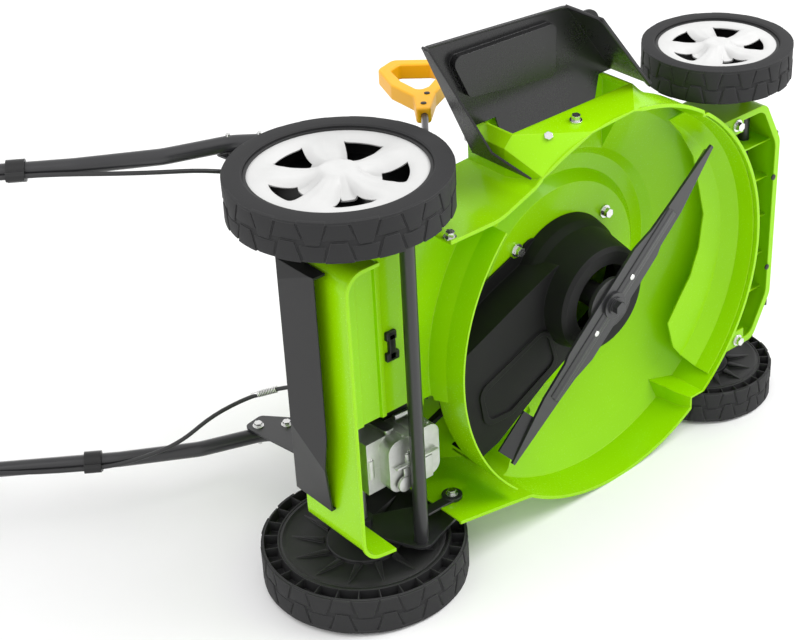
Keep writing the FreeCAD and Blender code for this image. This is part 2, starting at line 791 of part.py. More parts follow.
def recoil_cover():
    """Round starter housing with air slots and the rope's port."""
    dome = turned_z([
        (0, shroud_top_z + part_gap), (recoil_radius, shroud_top_z + part_gap),
        (recoil_radius, shroud_top_z + 18), (recoil_radius - 18, recoil_top_z), (0, recoil_top_z),
    ])
    hollow = turned_z([
        (0, shroud_top_z), (recoil_radius - 3, shroud_top_z),
        (recoil_radius - 3, shroud_top_z + 16.5), (recoil_radius - 19.5, recoil_top_z - 3),
        (0, recoil_top_z - 3),
    ])
    shell = dome.cut(hollow)
    for i in range(18):
        slot = box(crank_x + 30, crank_x + 58, -2.2, 2.2, recoil_top_z - 5, recoil_top_z + 1)
        slot.rotate(crank_foot, AXIS_Z, i * 20)
        shell = shell.cut(slot)
    port = box(crank_x - 12, crank_x + 12, recoil_radius - 12, recoil_radius + 14,
               shroud_top_z + part_gap, shroud_top_z + 22)
    hole = Part.makeCylinder(4, 60, Vec(crank_x, recoil_radius - 30, shroud_top_z + 11), Vec(0, 1, 0))
    return joined([shell, port]).cut(hole)


def starter_grip():
    """Pull grip on the starter rope, seated at the rope's port."""
    y = recoil_radius + 14 + part_gap
    z = shroud_top_z + 11
    bar = Part.makeCylinder(9, 84, Vec(crank_x - 42, y + 12, z), AXIS_X)
    stem = Part.makeCylinder(8, 12, Vec(crank_x, y, z), Vec(0, 1, 0))
    return joined([bar, stem])


def fuel_tank():
    """Moulded fuel tank behind the engine's right side, with filler neck."""
    plan = [(-128, 84), (-40, 136), (-40, 186), (-160, 186), (-160, 104)]
    low = roof_height(186) + part_gap
    body = slab_z(plan, low, 292, 18).cut(slab_z(plan, low + 3, 289, 18, -3))
    neck = ring_z(tank_neck_x, tank_neck_y, 288, 300, 20, 16)
    tank = body.cut(rod_z(tank_neck_x, tank_neck_y, 285, 296, 16))
    return joined([tank, neck])


def filler_caps():
    """Fuel cap and oil filler cap, both with grip flutes."""
    caps = []
    places = (
        (tank_neck_x, tank_neck_y, 300 + part_gap, 25),
        (crank_x + 96, -50, engine_base_z + 46 + part_gap, 16),
    )
    for x, y, z, radius in places:
        cap = rod_z(x, y, z, z + 15, radius)
        cap = cap.makeFillet(3, [e for e in cap.Edges if e.BoundBox.ZMin > z + 14.9])
        for i in range(12):
            turn = math.radians(i * 30)
            flute = Vec(x + (radius + 1) * math.cos(turn), y + (radius + 1) * math.sin(turn), 0)
            cap = cap.cut(rod_z(flute.x, flute.y, z - 1, z + 16, 2.4))
        caps.append(cap)
    return group(caps)


def air_filter():
    """Air filter box and carburettor stub on the engine's right side."""
    lid = slab_z([(-166, -96), (-116, -96), (-116, -6), (-166, -6)], 206, 296, 12)
    lid = lid.makeFillet(5, [e for e in lid.Edges if e.BoundBox.ZMin > 295.9])
    return lid.cut(slab_z([(-166, -96), (-116, -96), (-116, -6), (-166, -6)], 209, 292, 12, -3))


def carburettor():
    """Carburettor between the air filter and the cylinder."""
    body = box(-118, -92, -112, -40, 168, 205.6)
    throat = rod_x(-92, crank_x - 52 - part_gap, -100, 188, 10)
    bowl = rod_z(-105, -62, 160, 168, 12)
    return joined([body, throat, bowl])


def muffler():
    """Silencer on the engine's left front, with a slotted heat guard."""
    body = slab_z([(crank_x + 58, -150), (crank_x + 128, -150), (crank_x + 128, -84), (crank_x + 58, -84)],
                  172, 226, 12)
    guard = slab_z([(crank_x + 132, -158), (crank_x + 134, -158), (crank_x + 134, -76), (crank_x + 132, -76)],
                   168, 230)
    for i in range(6):
        guard = guard.cut(box(crank_x + 130, crank_x + 136, -150, -84, 175 + i * 8.5, 179 + i * 8.5))
    ties = [rod_x(crank_x + 127, crank_x + 133, y, 199, 4) for y in (-146, -88)]
    return joined([body, guard] + ties)


# ================= Belt and gearbox =================

def belt_line():
    """Unit vector and length from the crankshaft to the gearbox pulley."""
    reach = Vec(gearbox_x - crank_x, gearbox_pulley_y, 0)
    return Vec(reach).normalize(), reach.Length


def drive_belt():
    """V belt round both pulleys."""
    along, length = belt_line()
    lean = math.asin((gearbox_pulley_radius - crank_pulley_radius) / length)
    heading = math.atan2(along.y, along.x)

    def band(grow):
        small = crank_pulley_radius + grow
        large = gearbox_pulley_radius + grow
        left = heading + math.pi / 2 + lean
        right = heading - math.pi / 2 - lean
        start = Vec(crank_x, 0, belt_z - belt_width / 2)
        end = Vec(gearbox_x, gearbox_pulley_y, belt_z - belt_width / 2)

        def on(centre, radius, angle):
            return centre + Vec(radius * math.cos(angle), radius * math.sin(angle), 0)
        edges = [
            Part.makeLine(on(start, small, left), on(end, large, left)),
            Part.Arc(on(end, large, left), on(end, large, heading), on(end, large, right)).toShape(),
            Part.makeLine(on(end, large, right), on(start, small, right)),
            Part.Arc(on(start, small, right), on(start, small, heading + math.pi), on(start, small, left)).toShape(),
        ]
        return Part.Face(Part.Wire(edges)).extrude(Vec(0, 0, belt_width))
    return band(part_gap + belt_thickness).cut(band(part_gap))


def gearbox_pulley():
    """Pulley on the gearbox's upright input shaft."""
    centre = Vec(gearbox_x, gearbox_pulley_y, 0)
    groove = gearbox_pulley_radius
    rim = groove + 5
    return turned_z([
        (0, gearbox_shoulder_z - 20), (5.9, gearbox_shoulder_z - 20), (5.9, gearbox_shoulder_z + part_gap),
        (14, gearbox_shoulder_z + part_gap), (14, belt_z - 7), (rim, belt_z - 7), (rim, belt_z - 6),
        (groove, belt_z - 4.8), (groove, belt_z + 4.8), (rim, belt_z + 6), (rim, belt_z + 7), (0, belt_z + 7),
    ], centre)


def gearbox_body():
    """Whole gearbox form before it is split into case and cover."""
    front = slab_z([
        (gearbox_right_x, 288), (gearbox_left_x, 288), (gearbox_left_x, 372), (gearbox_right_x, 372),
    ], gearbox_bottom_z, gearbox_shoulder_z, 16)
    tunnel = rod_x(gearbox_right_x, gearbox_left_x, rear_axle_y, rear_axle_z, 18.5)
    back = box(gearbox_right_x, gearbox_left_x, 355, 392, gearbox_bottom_z + 20, rear_axle_z)
    bosses = []
    for y, z in ((292, 84), (292, 116), (386, 100), (386, 158), (340, 79)):
        bosses.append(rod_x(gearbox_split_x - 14, gearbox_split_x + 14, y, z, 6.5))
    body = joined([front, tunnel, back] + bosses)
    body = body.cut(rod_x(0, 300, rear_axle_y, rear_axle_z, drive_shaft_radius + running_clearance))
    return body.cut(rod_z(gearbox_x, gearbox_pulley_y, gearbox_shoulder_z - 21, 200, 5.9 + running_clearance))


def gearbox_case():
    """Right half of the gearbox."""
    half = gearbox_body().common(box(0, gearbox_split_x + 2, 200, 500, 0, 250))
    return half


def gearbox_cover():
    """Left half of the gearbox, bolted to the case."""
    return gearbox_body().common(box(gearbox_split_x + 2 + part_gap / 4, 300, 200, 500, 0, 250))


def clutch_arm():
    """Clutch lever beside the gearbox, pulled by the drive cable."""
    x = gearbox_right_x - 6
    arm = slab_x([(346, 92), (362, 92), (366, 150), (352, 150)], x - 3, x, 5)
    pin = rod_x(x - 3, gearbox_right_x - part_gap, 354, 100, 5)
    eye = ring_x(x - 3, x, 359, 152, 7, 2.5)
    return joined([arm.cut(rod_x(x - 10, x + 10, 359, 152, 2.5)), pin, eye])


def clutch_spring():
    """Return spring of the clutch lever, a closed tube of its outer size."""
    return Part.makeCylinder(4, 40, Vec(gearbox_right_x - 16, 300, 100), Vec(0, 1, 0.05))


def drive_shaft():
    """Round shaft through the gearbox that drives both rear wheels."""
    reach = rear_wheel_outer_x - 14
    return rod_x(-reach, reach, rear_axle_y, rear_axle_z, drive_shaft_radius)


# ================= Cutting height linkage =================

def arm_outline(points, radius):
    """A flat plate with rounded ends through (y, z) points."""
    plates = []
    for i, (y0, z0) in enumerate(points):
        y1, z1 = points[(i + 1) % len(points)]
        angle = math.degrees(math.atan2(z1 - z0, y1 - y0))
        length = math.hypot(y1 - y0, z1 - z0)
        bar = box(0, arm_plate, 0, length, -radius, radius)
        bar.rotate(Vec(0, 0, 0), AXIS_X, angle)
        bar.translate(Vec(0, y0, z0))
        plates.append(bar)
        plates.append(rod_x(0, arm_plate, y0, z0, radius))
    if len(points) > 2:
        plates.append(slab_x(points, 0, arm_plate))
    return joined(plates)


def rear_arms():
    """Pressed arms that carry the drive shaft and swing on the deck."""
    corners = [(rear_pivot_y, rear_pivot_z), (height_bar_y, height_bar_z), (rear_axle_y, rear_axle_z)]
    arms = []
    for side in SIDES:
        plate = arm_outline(corners, arm_boss_radius)
        if side > 0:
            lug = arm_outline([
                (rear_pivot_y, rear_pivot_z),
                (rear_pivot_y, rear_pivot_z + front_lug_height * link_ratio),
            ], 9)
            plate = joined([plate, lug])
            plate = plate.cut(rod_x(-5, 10, rear_pivot_y, rear_pivot_z + front_lug_height * link_ratio, 3.06))
        else:
            plate = joined([plate, arm_outline([(rear_pivot_y, rear_pivot_z), lever_foot], 12)])
        boss = rod_x(-12, 0, rear_axle_y, rear_axle_z, 13)
        if side < 0:
            plate = plate.mirror(Vec(0, 0, 0), AXIS_X)
            boss = boss.mirror(Vec(0, 0, 0), AXIS_X)
        arm = joined([plate, boss])
        arm.translate(Vec(side * arm_inner_x, 0, 0))
        low, high = sorted((side * 200, side * 260))
        arm = arm.cut(rod_x(low, high, rear_axle_y, rear_axle_z, drive_shaft_radius + running_clearance))
        arm = arm.cut(rod_x(low, high, rear_pivot_y, rear_pivot_z, pivot_bolt_radius))
        arms.append(arm)
    return group(arms)


def rear_height_bar():
    """Bar under the deck that ties the two rear arms."""
    reach = arm_inner_x
    return rod_x(-reach, reach, height_bar_y, height_bar_z, height_bar_radius)


def lever_path():
    """Corners of the height lever's bent rod, from the right rear arm up."""
    return [
        Vec(lever_x, *lever_foot),
        Vec(lever_x, 218, 152),
        Vec(lever_grip_x, 206, 176),
        Vec(lever_grip_x, 174, 214),
    ]


def height_lever():
    """Bent rod that swings the arms, welded to the right rear arm."""
    rod = bent_bar(lever_path(), lever_radius, 12)
    boss = rod_x(lever_x - lever_radius - 2, -(arm_inner_x + arm_plate), *lever_foot, 8)
    return joined([rod, boss])


def lever_grip():
    """D-shaped grip moulded on the lever's upper end."""
    top = lever_path()[-1]
    lean = Vec(0, -0.62, 0.785).normalize()
    outer = [(168, 209), (182, 221), (160, 252), (158, 300), (138, 352), (104, 362), (62, 322), (52, 300), (88, 262), (132, 240)]
    hole = [(142, 262), (140, 300), (128, 336), (108, 342), (78, 314), (74, 304), (100, 276), (126, 262)]
    grip = slab_x(outer, lever_grip_x - 11, lever_grip_x + 11, [5, 5, 8, 12, 14, 14, 14, 10, 12, 8])
    grip = grip.cut(slab_x(hole, lever_grip_x - 20, lever_grip_x + 20, 8))
    grip = grip.makeFillet(3, [e for e in grip.Edges if e.BoundBox.XLength < 0.01])
    socket = Part.makeCylinder(lever_radius, 30, top - lean * 20, lean)
    return grip.cut(socket).cut(bent_bar(lever_path(), lever_radius, 12))


def link_rod():
    """Rod that turns the front axle with the rear arms."""
    rear = Vec(link_rear_x, rear_pivot_y, rear_pivot_z + front_lug_height * link_ratio)
    front = Vec(link_front_x, front_pivot_y + 13, front_pivot_z + front_lug_height)
    run = front - rear
    bar = Part.makeCylinder(link_rod_radius, run.Length, rear, run)
    pin = rod_x(arm_inner_x - 2, link_rear_x, rear.y, rear.z, link_rod_radius)
    eye = ring_x(link_front_x - 2, link_front_x + 2, front_pivot_y, front.z, 14, 10)
    return joined([bar.cut(rod_x(0, 300, front_pivot_y, front.z, 10.5)), pin, eye])


def front_axle():
    """Cranked front axle: cross rod, two arms, stub axles and the link's lug."""
    reach = front_arm_inner_x + arm_plate
    parts = [rod_x(-reach, reach, front_pivot_y, front_pivot_z, front_rod_radius)]
    for side in SIDES:
        plate = arm_outline([(front_pivot_y, front_pivot_z), (front_axle_y, front_axle_z)], 13)
        plate.translate(Vec(front_arm_inner_x if side > 0 else -reach, 0, 0))
        parts.append(plate)
        low, high = sorted((side * (reach - 1), side * (front_wheel_outer_x - 14)))
        parts.append(rod_x(low, high, front_axle_y, front_axle_z, stub_axle_radius))
    lug = arm_outline([(front_pivot_y, front_pivot_z), (front_pivot_y, front_pivot_z + front_lug_height)], 8)
    lug.translate(Vec(front_arm_inner_x, 0, 0))
    pin = rod_x(reach - 1, link_front_x + 6, front_pivot_y, front_pivot_z + front_lug_height, 3.5)
    return joined(parts + [lug, pin])


# ================= Wheels =================

def wheel_sizes(front):
    """Radius, width, outer face, axle place of a wheel."""
    if front:
        return front_wheel_radius, front_wheel_width, front_wheel_outer_x, front_axle_y, front_axle_z
    return rear_wheel_radius, rear_wheel_width, rear_wheel_outer_x, rear_axle_y, rear_axle_z


def tyre(front, side):
    """Tyre with flat tread and two rows of tread blocks."""
    radius, width, outer, y, z = wheel_sizes(front)
    depth = radius * 0.185
    inner = outer - width
    base = turned_x([
        (radius - depth, inner + 3), (radius - 8, inner), (radius - 4, inner + 4), (radius - 4, outer - 4),
        (radius - 8, outer), (radius - depth, outer - 3),
    ], y, z, side)
    blocks = []
    count = 26 if front else 30
    half = math.pi * radius / count
    for i in range(count):
        for row in SIDES:
            near = outer - width / 2 + row * 1.0
            far = outer - width / 2 + row * (width / 2 - 2.5)
            block = slab_z([
                (near, -half * 0.36), (near, half * 0.36), (far, half * 0.78), (far, -half * 0.78),
            ], radius - 9, radius, 0)
            trim = Part.makeCylinder(radius, 80, Vec(outer - 70, 0, 0), AXIS_X)
            block = block.common(trim)
            block.rotate(Vec(0, 0, 0), AXIS_X, (i + (0.5 if row > 0 else 0)) * WHOLE_TURN / count)
            if side < 0:
                block = block.mirror(Vec(0, 0, 0), AXIS_X)
            block.translate(Vec(0, y, z))
            blocks.append(block)
    return joined([base] + blocks)


def rim(front, side):
    """Moulded rim: dished disc with ribs on the inner face, and the hub."""
    radius, width, outer, y, z = wheel_sizes(front)
    seat = radius - radius * 0.185 - part_gap
    inner = outer - width
    axle = stub_axle_radius if front else drive_shaft_radius
    bore = axle + running_clearance
    disc_x = inner + width * 0.42
    profile = [
        (bore, inner + 4), (19, inner + 4), (22, disc_x - 3), (seat - 10, disc_x - 3),
        (seat - 4, inner + 4), (seat, inner + 4), (seat, outer - 4), (seat - 4, outer - 4), (seat - 4, disc_x + 1),
        (17, disc_x + 1), (17, outer - 12), (bore, outer - 12),
    ]
    wheel = turned_x(profile, y, z, side)
    ribs = []
    count = 8 if front else 16
    for i in range(count):
        low, high = sorted((side * (inner + 10), side * (disc_x - 1)))
        rib = box(low, high, 19, seat - 3, -1.2, 1.2)
        rib.rotate(Vec(0, 0, 0), AXIS_X, i * WHOLE_TURN / count)
        rib.translate(Vec(0, y, z))
        ribs.append(rib)
    return joined([wheel] + ribs)


def hubcap(front, side):
    """Pale outer cover with six windows between broad spokes."""
    radius, width, outer, y, z = wheel_sizes(front)
    seat = radius - radius * 0.185 - part_gap - 4 - part_gap
    profile = [
        (0, outer - 4), (radius * 0.17, outer - 3.5), (radius * 0.3, outer - 9), (seat - 16, outer - 5),
        (seat - 4, outer - 1), (seat, outer - 1), (seat, outer - 9), (seat - 14, outer - 9),
        (radius * 0.3, outer - 12), (radius * 0.17, outer - 7), (0, outer - 7.5),
    ]
    cap = turned_x(profile, y, z, side)
    for i in range(6):
        inner_r = radius * 0.36
        outer_r = radius * 0.62
        window = [
            (inner_r, -radius * 0.035), (outer_r, -radius * 0.2), (outer_r * 1.03, 0),
            (outer_r, radius * 0.2), (inner_r, radius * 0.035),
        ]
        low, high = sorted((side * (outer - 20), side * (outer + 5)))
        cutter = slab_x(window, low, high, 2)
        cutter.rotate(Vec(0, 0, 0), AXIS_X, 30 + i * 60)
        cutter.translate(Vec(0, y, z))
        cap = cap.cut(cutter)
    return cap


# ================= Rear flap, side flap and chute =================

def flap_form(inset):
    """The flap's faceted form, or its hollow when inset is the wall."""
    front = housing_rear_y + part_gap - 5 * inset
    low = flap_lip_z - 3 * inset
    form = slab_x([
        (flap_rod_y - 4 * inset, flap_rod_z + 8 - inset), (flap_rod_y + 10 - 0.5 * inset, flap_rod_z + 8 - inset),
        (flap_crease_y - inset, 130), (flap_crease_y - 10 - inset, low), (front, low),
        (front, rear_slope_z + 2), (flap_rod_y - 4 - 4 * inset, flap_rod_z - 6.5),
    ], flap_right_x + inset, flap_left_x - inset)
    back = flap_crease_y - inset
    left_taper = slab_z([(10, back), (200, back - 32), (200, back + 60), (10, back + 60)], 0, 300)
    right_taper = slab_z([(-196, back), (-236, back - 18), (-236, back + 60), (-196, back + 60)], 0, 300)
    rising_lip = Part.Face(outline([
        Vec(10, 400, flap_lip_z), Vec(160, 400, flap_lip_z + 19), Vec(160, 400, 0), Vec(10, 400, 0),
    ])).extrude(Vec(0, 120, 0))
    form = form.cut(left_taper).cut(right_taper)
    return form if inset else form.cut(rising_lip)


def rear_flap():
    """Faceted door over the rear opening, hollow towards the deck."""
    barrel = rod_x(flap_right_x, flap_left_x, flap_rod_y, flap_rod_z, 8)
    flap = joined([flap_form(0).cut(flap_form(flap_wall)), barrel])
    flap = flap.cut(rod_x(-400, 400, flap_rod_y, flap_rod_z, flap_rod_radius + running_clearance))
    room = slab_x([
        (300, 0), (housing_rear_y + 0.5, 0), (housing_rear_y + 0.5, rear_slope_z + 0.2),
        (roof_rear_y + 0.6, roof_rear_z + 0.6), (300, roof_rear_z + 0.6),
    ], -400, 400)
    return flap.cut(room)


def hinge_rods():
    """Rods of the rear flap and of the side flap, with their ears."""
    rear = rod_x(flap_right_x - 8, flap_left_x + 8, flap_rod_y, flap_rod_z, flap_rod_radius)
    ears = []
    for x in (flap_right_x - 6, flap_left_x + 2):
        ear = slab_x([
            (350, roof_height(350)), (roof_rear_y, roof_rear_z), (flap_rod_y + 7, flap_rod_z - 9),
            (flap_rod_y + 7, flap_rod_z + 7), (flap_rod_y - 6, flap_rod_z + 7), (350, roof_height(350) + 6),
        ], x, x + 4, 0)
        ears.append(ear)
    side = Part.makeCylinder(side_rod_radius, 236, Vec(side_rod_x, -82, side_rod_z), Vec(0, 1, 0))
    side_ears = []
    for y in (-80, 150):
        side_ears.append(box(side_rod_x - 5, hood_x + 30, y, y + 3, hood_top_z, side_rod_z + 5))
    return group([joined([rear] + ears), joined([side] + side_ears)])


def side_flap():
    """Side cover, held up by the chute that sits below it."""
    barrel = Part.makeCylinder(6, 224, Vec(side_rod_x, -76, side_rod_z), Vec(0, 1, 0))
    low = chute_top_z + 1.5
    leaf = slab_z([
        (side_rod_x - 2, -76), (side_rod_x - 2, 148), (side_rod_x - side_flap_reach, 138),
        (side_rod_x - side_flap_reach, -58),
    ], low, low + 3, [0, 0, 22, 22])
    web = box(side_rod_x - 5, side_rod_x - 1, -76, 148, low, side_rod_z)
    flap = joined([leaf, web, barrel])
    bore = Part.makeCylinder(side_rod_radius + running_clearance, 400, Vec(side_rod_x, -200, side_rod_z), Vec(0, 1, 0))
    return flap.cut(bore)


def chute_wall_form(near, mouth, low_near, low_mouth, step):
    """An upright wall of the chute between two plan points."""
    run = Vec(mouth[0] - near[0], mouth[1] - near[1], 0)
    length = run.Length
    knee = length * 0.1
    points = [
        Vec(0, 0, low_near), Vec(knee, 0, low_near + step), Vec(length, 0, low_mouth),
        Vec(length, 0, chute_top_z), Vec(0, 0, chute_top_z), Vec(0, 0, low_near),
    ]
    wall = Part.Face(Part.makePolygon(points)).extrude(Vec(0, chute_wall, 0))
    wall.rotate(Vec(0, 0, 0), AXIS_Z, math.degrees(math.atan2(run.y, run.x)))
    wall.translate(Vec(near[0], near[1], 0))
    return wall


def side_chute():
    """Removable side discharge chute, open below, pointing back and out."""
    roof = slab_z([
        chute_front_near, (chute_near_x, 181), chute_rear_mouth, chute_front_mouth,
    ], chute_top_z - chute_wall, chute_top_z)
    rear = chute_wall_form(chute_rear_near, chute_rear_mouth, 30, 124, 62)
    front = chute_wall_form(chute_front_near, chute_front_mouth, 62, 70, 2)
    pocket_plan = [(-312, 30), (-330, 176), (-390, 205), (-384, 28)]
    pocket = slab_z(pocket_plan, chute_top_z - 13, chute_top_z - 1, 10)
    pocket = pocket.cut(slab_z(pocket_plan, chute_top_z - 10.5, chute_top_z + 1, 10, -2.5))
    roof = roof.cut(slab_z(pocket_plan, chute_top_z - 10.5, chute_top_z + 1, 10, -2.5))
    inside_edge = slab_z([(-284, -200), (-284, 161), (-200, 161), (-200, -200)], 0, 300)
    body = joined([roof, rear, front, pocket]).cut(inside_edge)
    tongue = slab_z(
        [(-285, -58), (-285, 126), (-248, 114), (-240, 60), (-240, -10), (-246, -50)],
        chute_top_z - chute_wall, chute_top_z,
    )
    return joined([body, tongue])


# ================= Handle =================

def handle_point(along, x=0.0, lift=0.0):
    """A point on the handle's straight slope, measured from the fold."""
    y = fold_y + along * math.cos(handle_slope) - lift * math.sin(handle_slope)
    z = fold_z + along * math.sin(handle_slope) + lift * math.cos(handle_slope)
    return Vec(x, y, z)


def lower_handle_path(x):
    """Corners of one lower handle tube."""
    return [
        Vec(x, 306, 369), Vec(x, 346, 403), Vec(x, 433, 435), Vec(x, 530, 494), handle_point(26, x),
    ]


def lower_handle():
    """Two bent lower tubes, fixed to the deck's brackets."""
    tubes = []
    for side in SIDES:
        path = lower_handle_path(side * lower_handle_x)
        tube = bent_tube(path, handle_tube_radius, handle_tube_wall, 60)
        tube = tube.cut(rod_x(-300, 300, fold_y, fold_z, fold_bolt_radius))
        for y, z in bracket_bolt_spots:
            tube = tube.cut(rod_x(-300, 300, y, z, bracket_bolt_radius + running_clearance))
        tubes.append(tube)
    return group(tubes)


def handle_brackets():
    """Plates that stand on the rear housing's roof and hold the lower tubes."""
    plates = []
    for side in SIDES:
        low, high = sorted((side * bracket_x, side * (bracket_x + bracket_plate)))
        plate = slab_x([
            (262, roof_height(262)), (340, roof_height(340)), (366, 418), (332, 424), (292, 376),
        ], low, high, [0, 0, 10, 10, 10])
        inner, outer = sorted((side * 164, side * (bracket_x + 1)))
        foot = slab_x([
            (262, roof_height(262)), (340, roof_height(340)),
            (340, roof_height(340) + bracket_plate), (262, roof_height(262) + bracket_plate),
        ], inner, outer)
        piece = joined([plate, foot])
        for y, z in bracket_bolt_spots:
            piece = piece.cut(rod_x(-250, 250, y, z, bracket_bolt_radius + running_clearance))
        plates.append(piece)
    return group(plates)


def upper_handle():
    """One U-shaped upper tube, folding at the lower tubes' ends."""
    top = upper_leg_length
    path = [
        handle_point(-34, upper_handle_x), handle_point(top, upper_handle_x),
        handle_point(top, -upper_handle_x), handle_point(-34, -upper_handle_x),
    ]
    tube = bent_tube(path, handle_tube_radius, handle_tube_wall, handle_bend_radius)
    return tube.cut(rod_x(-300, 300, fold_y, fold_z, fold_bolt_radius + running_clearance))


def handle_grip():
    """Foam sleeve on the handle's cross tube."""
    middle = handle_point(upper_leg_length)
    reach = upper_handle_x - handle_bend_radius - 6
    return ring_x(-reach, reach, middle.y, middle.z, 15.5, handle_tube_radius)


def fold_locks():
    """Cam levers with their bolts through both tubes at the fold."""
    locks = []
    for side in SIDES:
        inner = side * (upper_handle_x - handle_tube_radius - 4)
        outer = side * (lower_handle_x + handle_tube_radius + 12)
        bolt = rod_x(*sorted((inner, outer)), fold_y, fold_z, fold_bolt_radius)
        face = side * (lower_handle_x + handle_tube_radius + part_gap)
        cam = rod_x(*sorted((face, face + side * 14)), fold_y, fold_z, 11)
        lever = box(0, 9, -9, 62, -6, 6)
        lever.rotate(Vec(0, 0, 0), AXIS_X, 215)
        low = min(face + side * 4, face + side * 13)
        lever.translate(Vec(low, fold_y, fold_z))
        locks.append(joined([bolt, cam, lever]))
    return group(locks)


def bail(x, setback, lift, reach):
    """A U-shaped control bail that pivots on the upper legs."""
    pin = handle_point(bail_pivot_from_fold - setback)
    slope = handle_slope + lift
    rise = Vec(0, reach * math.cos(slope), reach * math.sin(slope))
    left = Vec(x, pin.y, pin.z)
    right = Vec(-x, pin.y, pin.z)
    rod = bent_bar([left, left + rise, right + rise, right], bail_radius, 40)
    pivots = []
    for side in SIDES:
        ends = sorted((side * (x - 2), side * (upper_handle_x - handle_tube_radius - part_gap)))
        pivots.append(rod_x(ends[0], ends[1], pin.y, pin.z, 3))
    return joined([rod] + pivots)


def stop_bail():
    """Engine stop bail, sprung up from the handle."""
    return bail(stop_bail_x, 0, bail_lift, upper_leg_length - bail_pivot_from_fold - 4)


def drive_bail():
    """Drive bail, sprung down from the handle."""
    reach = upper_leg_length - bail_pivot_from_fold + drive_bail_setback + 2
    return bail(drive_bail_x, drive_bail_setback, -bail_lift, reach)


clip_offset = handle_tube_radius + cable_radius + 3.0


def clip_spots():
    """Where the cable clips sit along the lower tubes: side, y, z."""
    return [(-1, 590.0, 536.9), (1, 560.0, 515.5)]


def cable_clips():
    """Clips that hold the control cables under the lower tubes."""
    clips = []
    for side, y, z in clip_spots():
        along = Vec(0, math.cos(handle_slope), math.sin(handle_slope))
        under = Vec(0, math.sin(handle_slope), -math.cos(handle_slope))
        centre = Vec(side * lower_handle_x, y, z)
        centre = centre - along * 12
        collar = Part.makeCylinder(handle_tube_radius + 4, 24, centre, along)
        hook = Part.makeCylinder(cable_radius + 3.5, 24, centre + under * clip_offset, along)
        clip = joined([collar, hook])
        clip = clip.cut(Part.makeCylinder(handle_tube_radius + 0.3, 40, centre - along * 8, along))
        clip = clip.cut(Part.makeCylinder(cable_radius + 0.5, 40, centre + under * clip_offset - along * 8, along))
        clips.append(clip)
    return group(clips)


def cable_route(side):
    """Corners of a control cable, from the bail down to the engine or gearbox."""
    under = Vec(0, math.sin(handle_slope), -math.cos(handle_slope))
    along = Vec(0, math.cos(handle_slope), math.sin(handle_slope))
    clip = [spot for spot in clip_spots() if spot[0] == side][0]
    held = Vec(side * lower_handle_x, clip[1], clip[2]) + under * clip_offset
    top = handle_point(bail_pivot_from_fold - 40, side * upper_handle_x) + under * clip_offset
    points = [top, top - along * 110, held + along * 60, held - along * 36]
    if side < 0:
        points += [
            Vec(-221, 470, 436), Vec(-206, 380, 402), Vec(-168, 290, 378),
            Vec(-128, 200, 352), Vec(-116, 150, 336),
        ]
        return points
    points += [
        Vec(206, 468, 434), Vec(178, 410, 424), Vec(166, 352, 410),
        Vec(146, 312, 366), Vec(126, 300, 296), Vec(116, 302, 206),
    ]
    return points


def control_cables():
    """Brake cable on the right and drive cable on the left."""
    cables = []
    for side in SIDES:
        points = cable_route(side)
        runs = [(points[i + 1] - points[i]).Length for i in range(len(points) - 1)]
        bends = []
        for i in range(1, len(points) - 1):
            before = (points[i - 1] - points[i]).normalize()
            after = (points[i + 1] - points[i]).normalize()
            half = before.getAngle(after) / 2
            bends.append(0.45 * min(runs[i - 1], runs[i]) * math.tan(half))
        print("cable bend radii", [round(r) for r in bends])
        cables.append(bent_bar(points, cable_radius, bends))
    return group(cables)


# ================= Writing the pieces =================

builders = {
    "deck_shell": deck_shell,
    "front_bumper": front_bumper,
    "front_baffle": front_baffle,
    "chamber_rear_wall": chamber_rear_wall,
    "discharge_ramp": discharge_ramp,
    "belt_cover": belt_cover,
    "deck_bolts": deck_bolts,
    "crankshaft": crankshaft,
    "pulley_boss": pulley_boss,
    "blade": blade,
    "blade_bolt": blade_bolt,
    "flywheel": flywheel,
    "crankcase": crankcase,
    "cylinder": cylinder,
    "engine_shroud": engine_shroud,
    "recoil_cover": recoil_cover,
    "starter_grip": starter_grip,
    "fuel_tank": fuel_tank,
    "filler_caps": filler_caps,
    "air_filter": air_filter,
    "carburettor": carburettor,
    "muffler": muffler,
    "drive_belt": drive_belt,
    "gearbox_pulley": gearbox_pulley,
    "gearbox_case": gearbox_case,
    "gearbox_cover": gearbox_cover,
    "clutch_arm": clutch_arm,
    "clutch_spring": clutch_spring,
    "drive_shaft": drive_shaft,
    "rear_arms": rear_arms,
    "rear_height_bar": rear_height_bar,
    "height_lever": height_lever,
    "lever_grip": lever_grip,
    "link_rod": link_rod,
    "front_axle": front_axle,
    "rear_flap": rear_flap,
    "hinge_rods": hinge_rods,
    "side_flap": side_flap,
    "side_chute": side_chute,
    "handle_brackets": handle_brackets,
    "lower_handle": lower_handle,
    "upper_handle": upper_handle,
    "handle_grip": handle_grip,
    "fold_locks": fold_locks,
    "stop_bail": stop_bail,
    "drive_bail": drive_bail,
    "cable_clips": cable_clips,
    "control_cables": control_cables,
}


def write_piece(name, shape):
    """Check a piece and write it as a STEP file."""
    bounds = shape.BoundBox
    print(
        f"{name:20s} solids {len(shape.Solids)} valid {shape.isValid()} volume {shape.Volume:12.1f}"
        f" x {bounds.XMin:7.1f}..{bounds.XMax:7.1f} y {bounds.YMin:7.1f}..{bounds.YMax:7.1f}"
        f" z {bounds.ZMin:7.1f}..{bounds.ZMax:7.1f}"
    )
    shape.exportStep(f"parts/{name}.step")


os.makedirs("parts", exist_ok=True)
for piece_name, build in builders.items():
    write_piece(piece_name, build())
for front in (True, False):
    for side in SIDES:
        place = f"{'front' if front else 'rear'}_{'left' if side > 0 else 'right'}"
        write_piece(f"{place}_tyre", tyre(front, side))
        write_piece(f"{place}_rim", rim(front, side))
        write_piece(f"{place}_hubcap", hubcap(front, side))
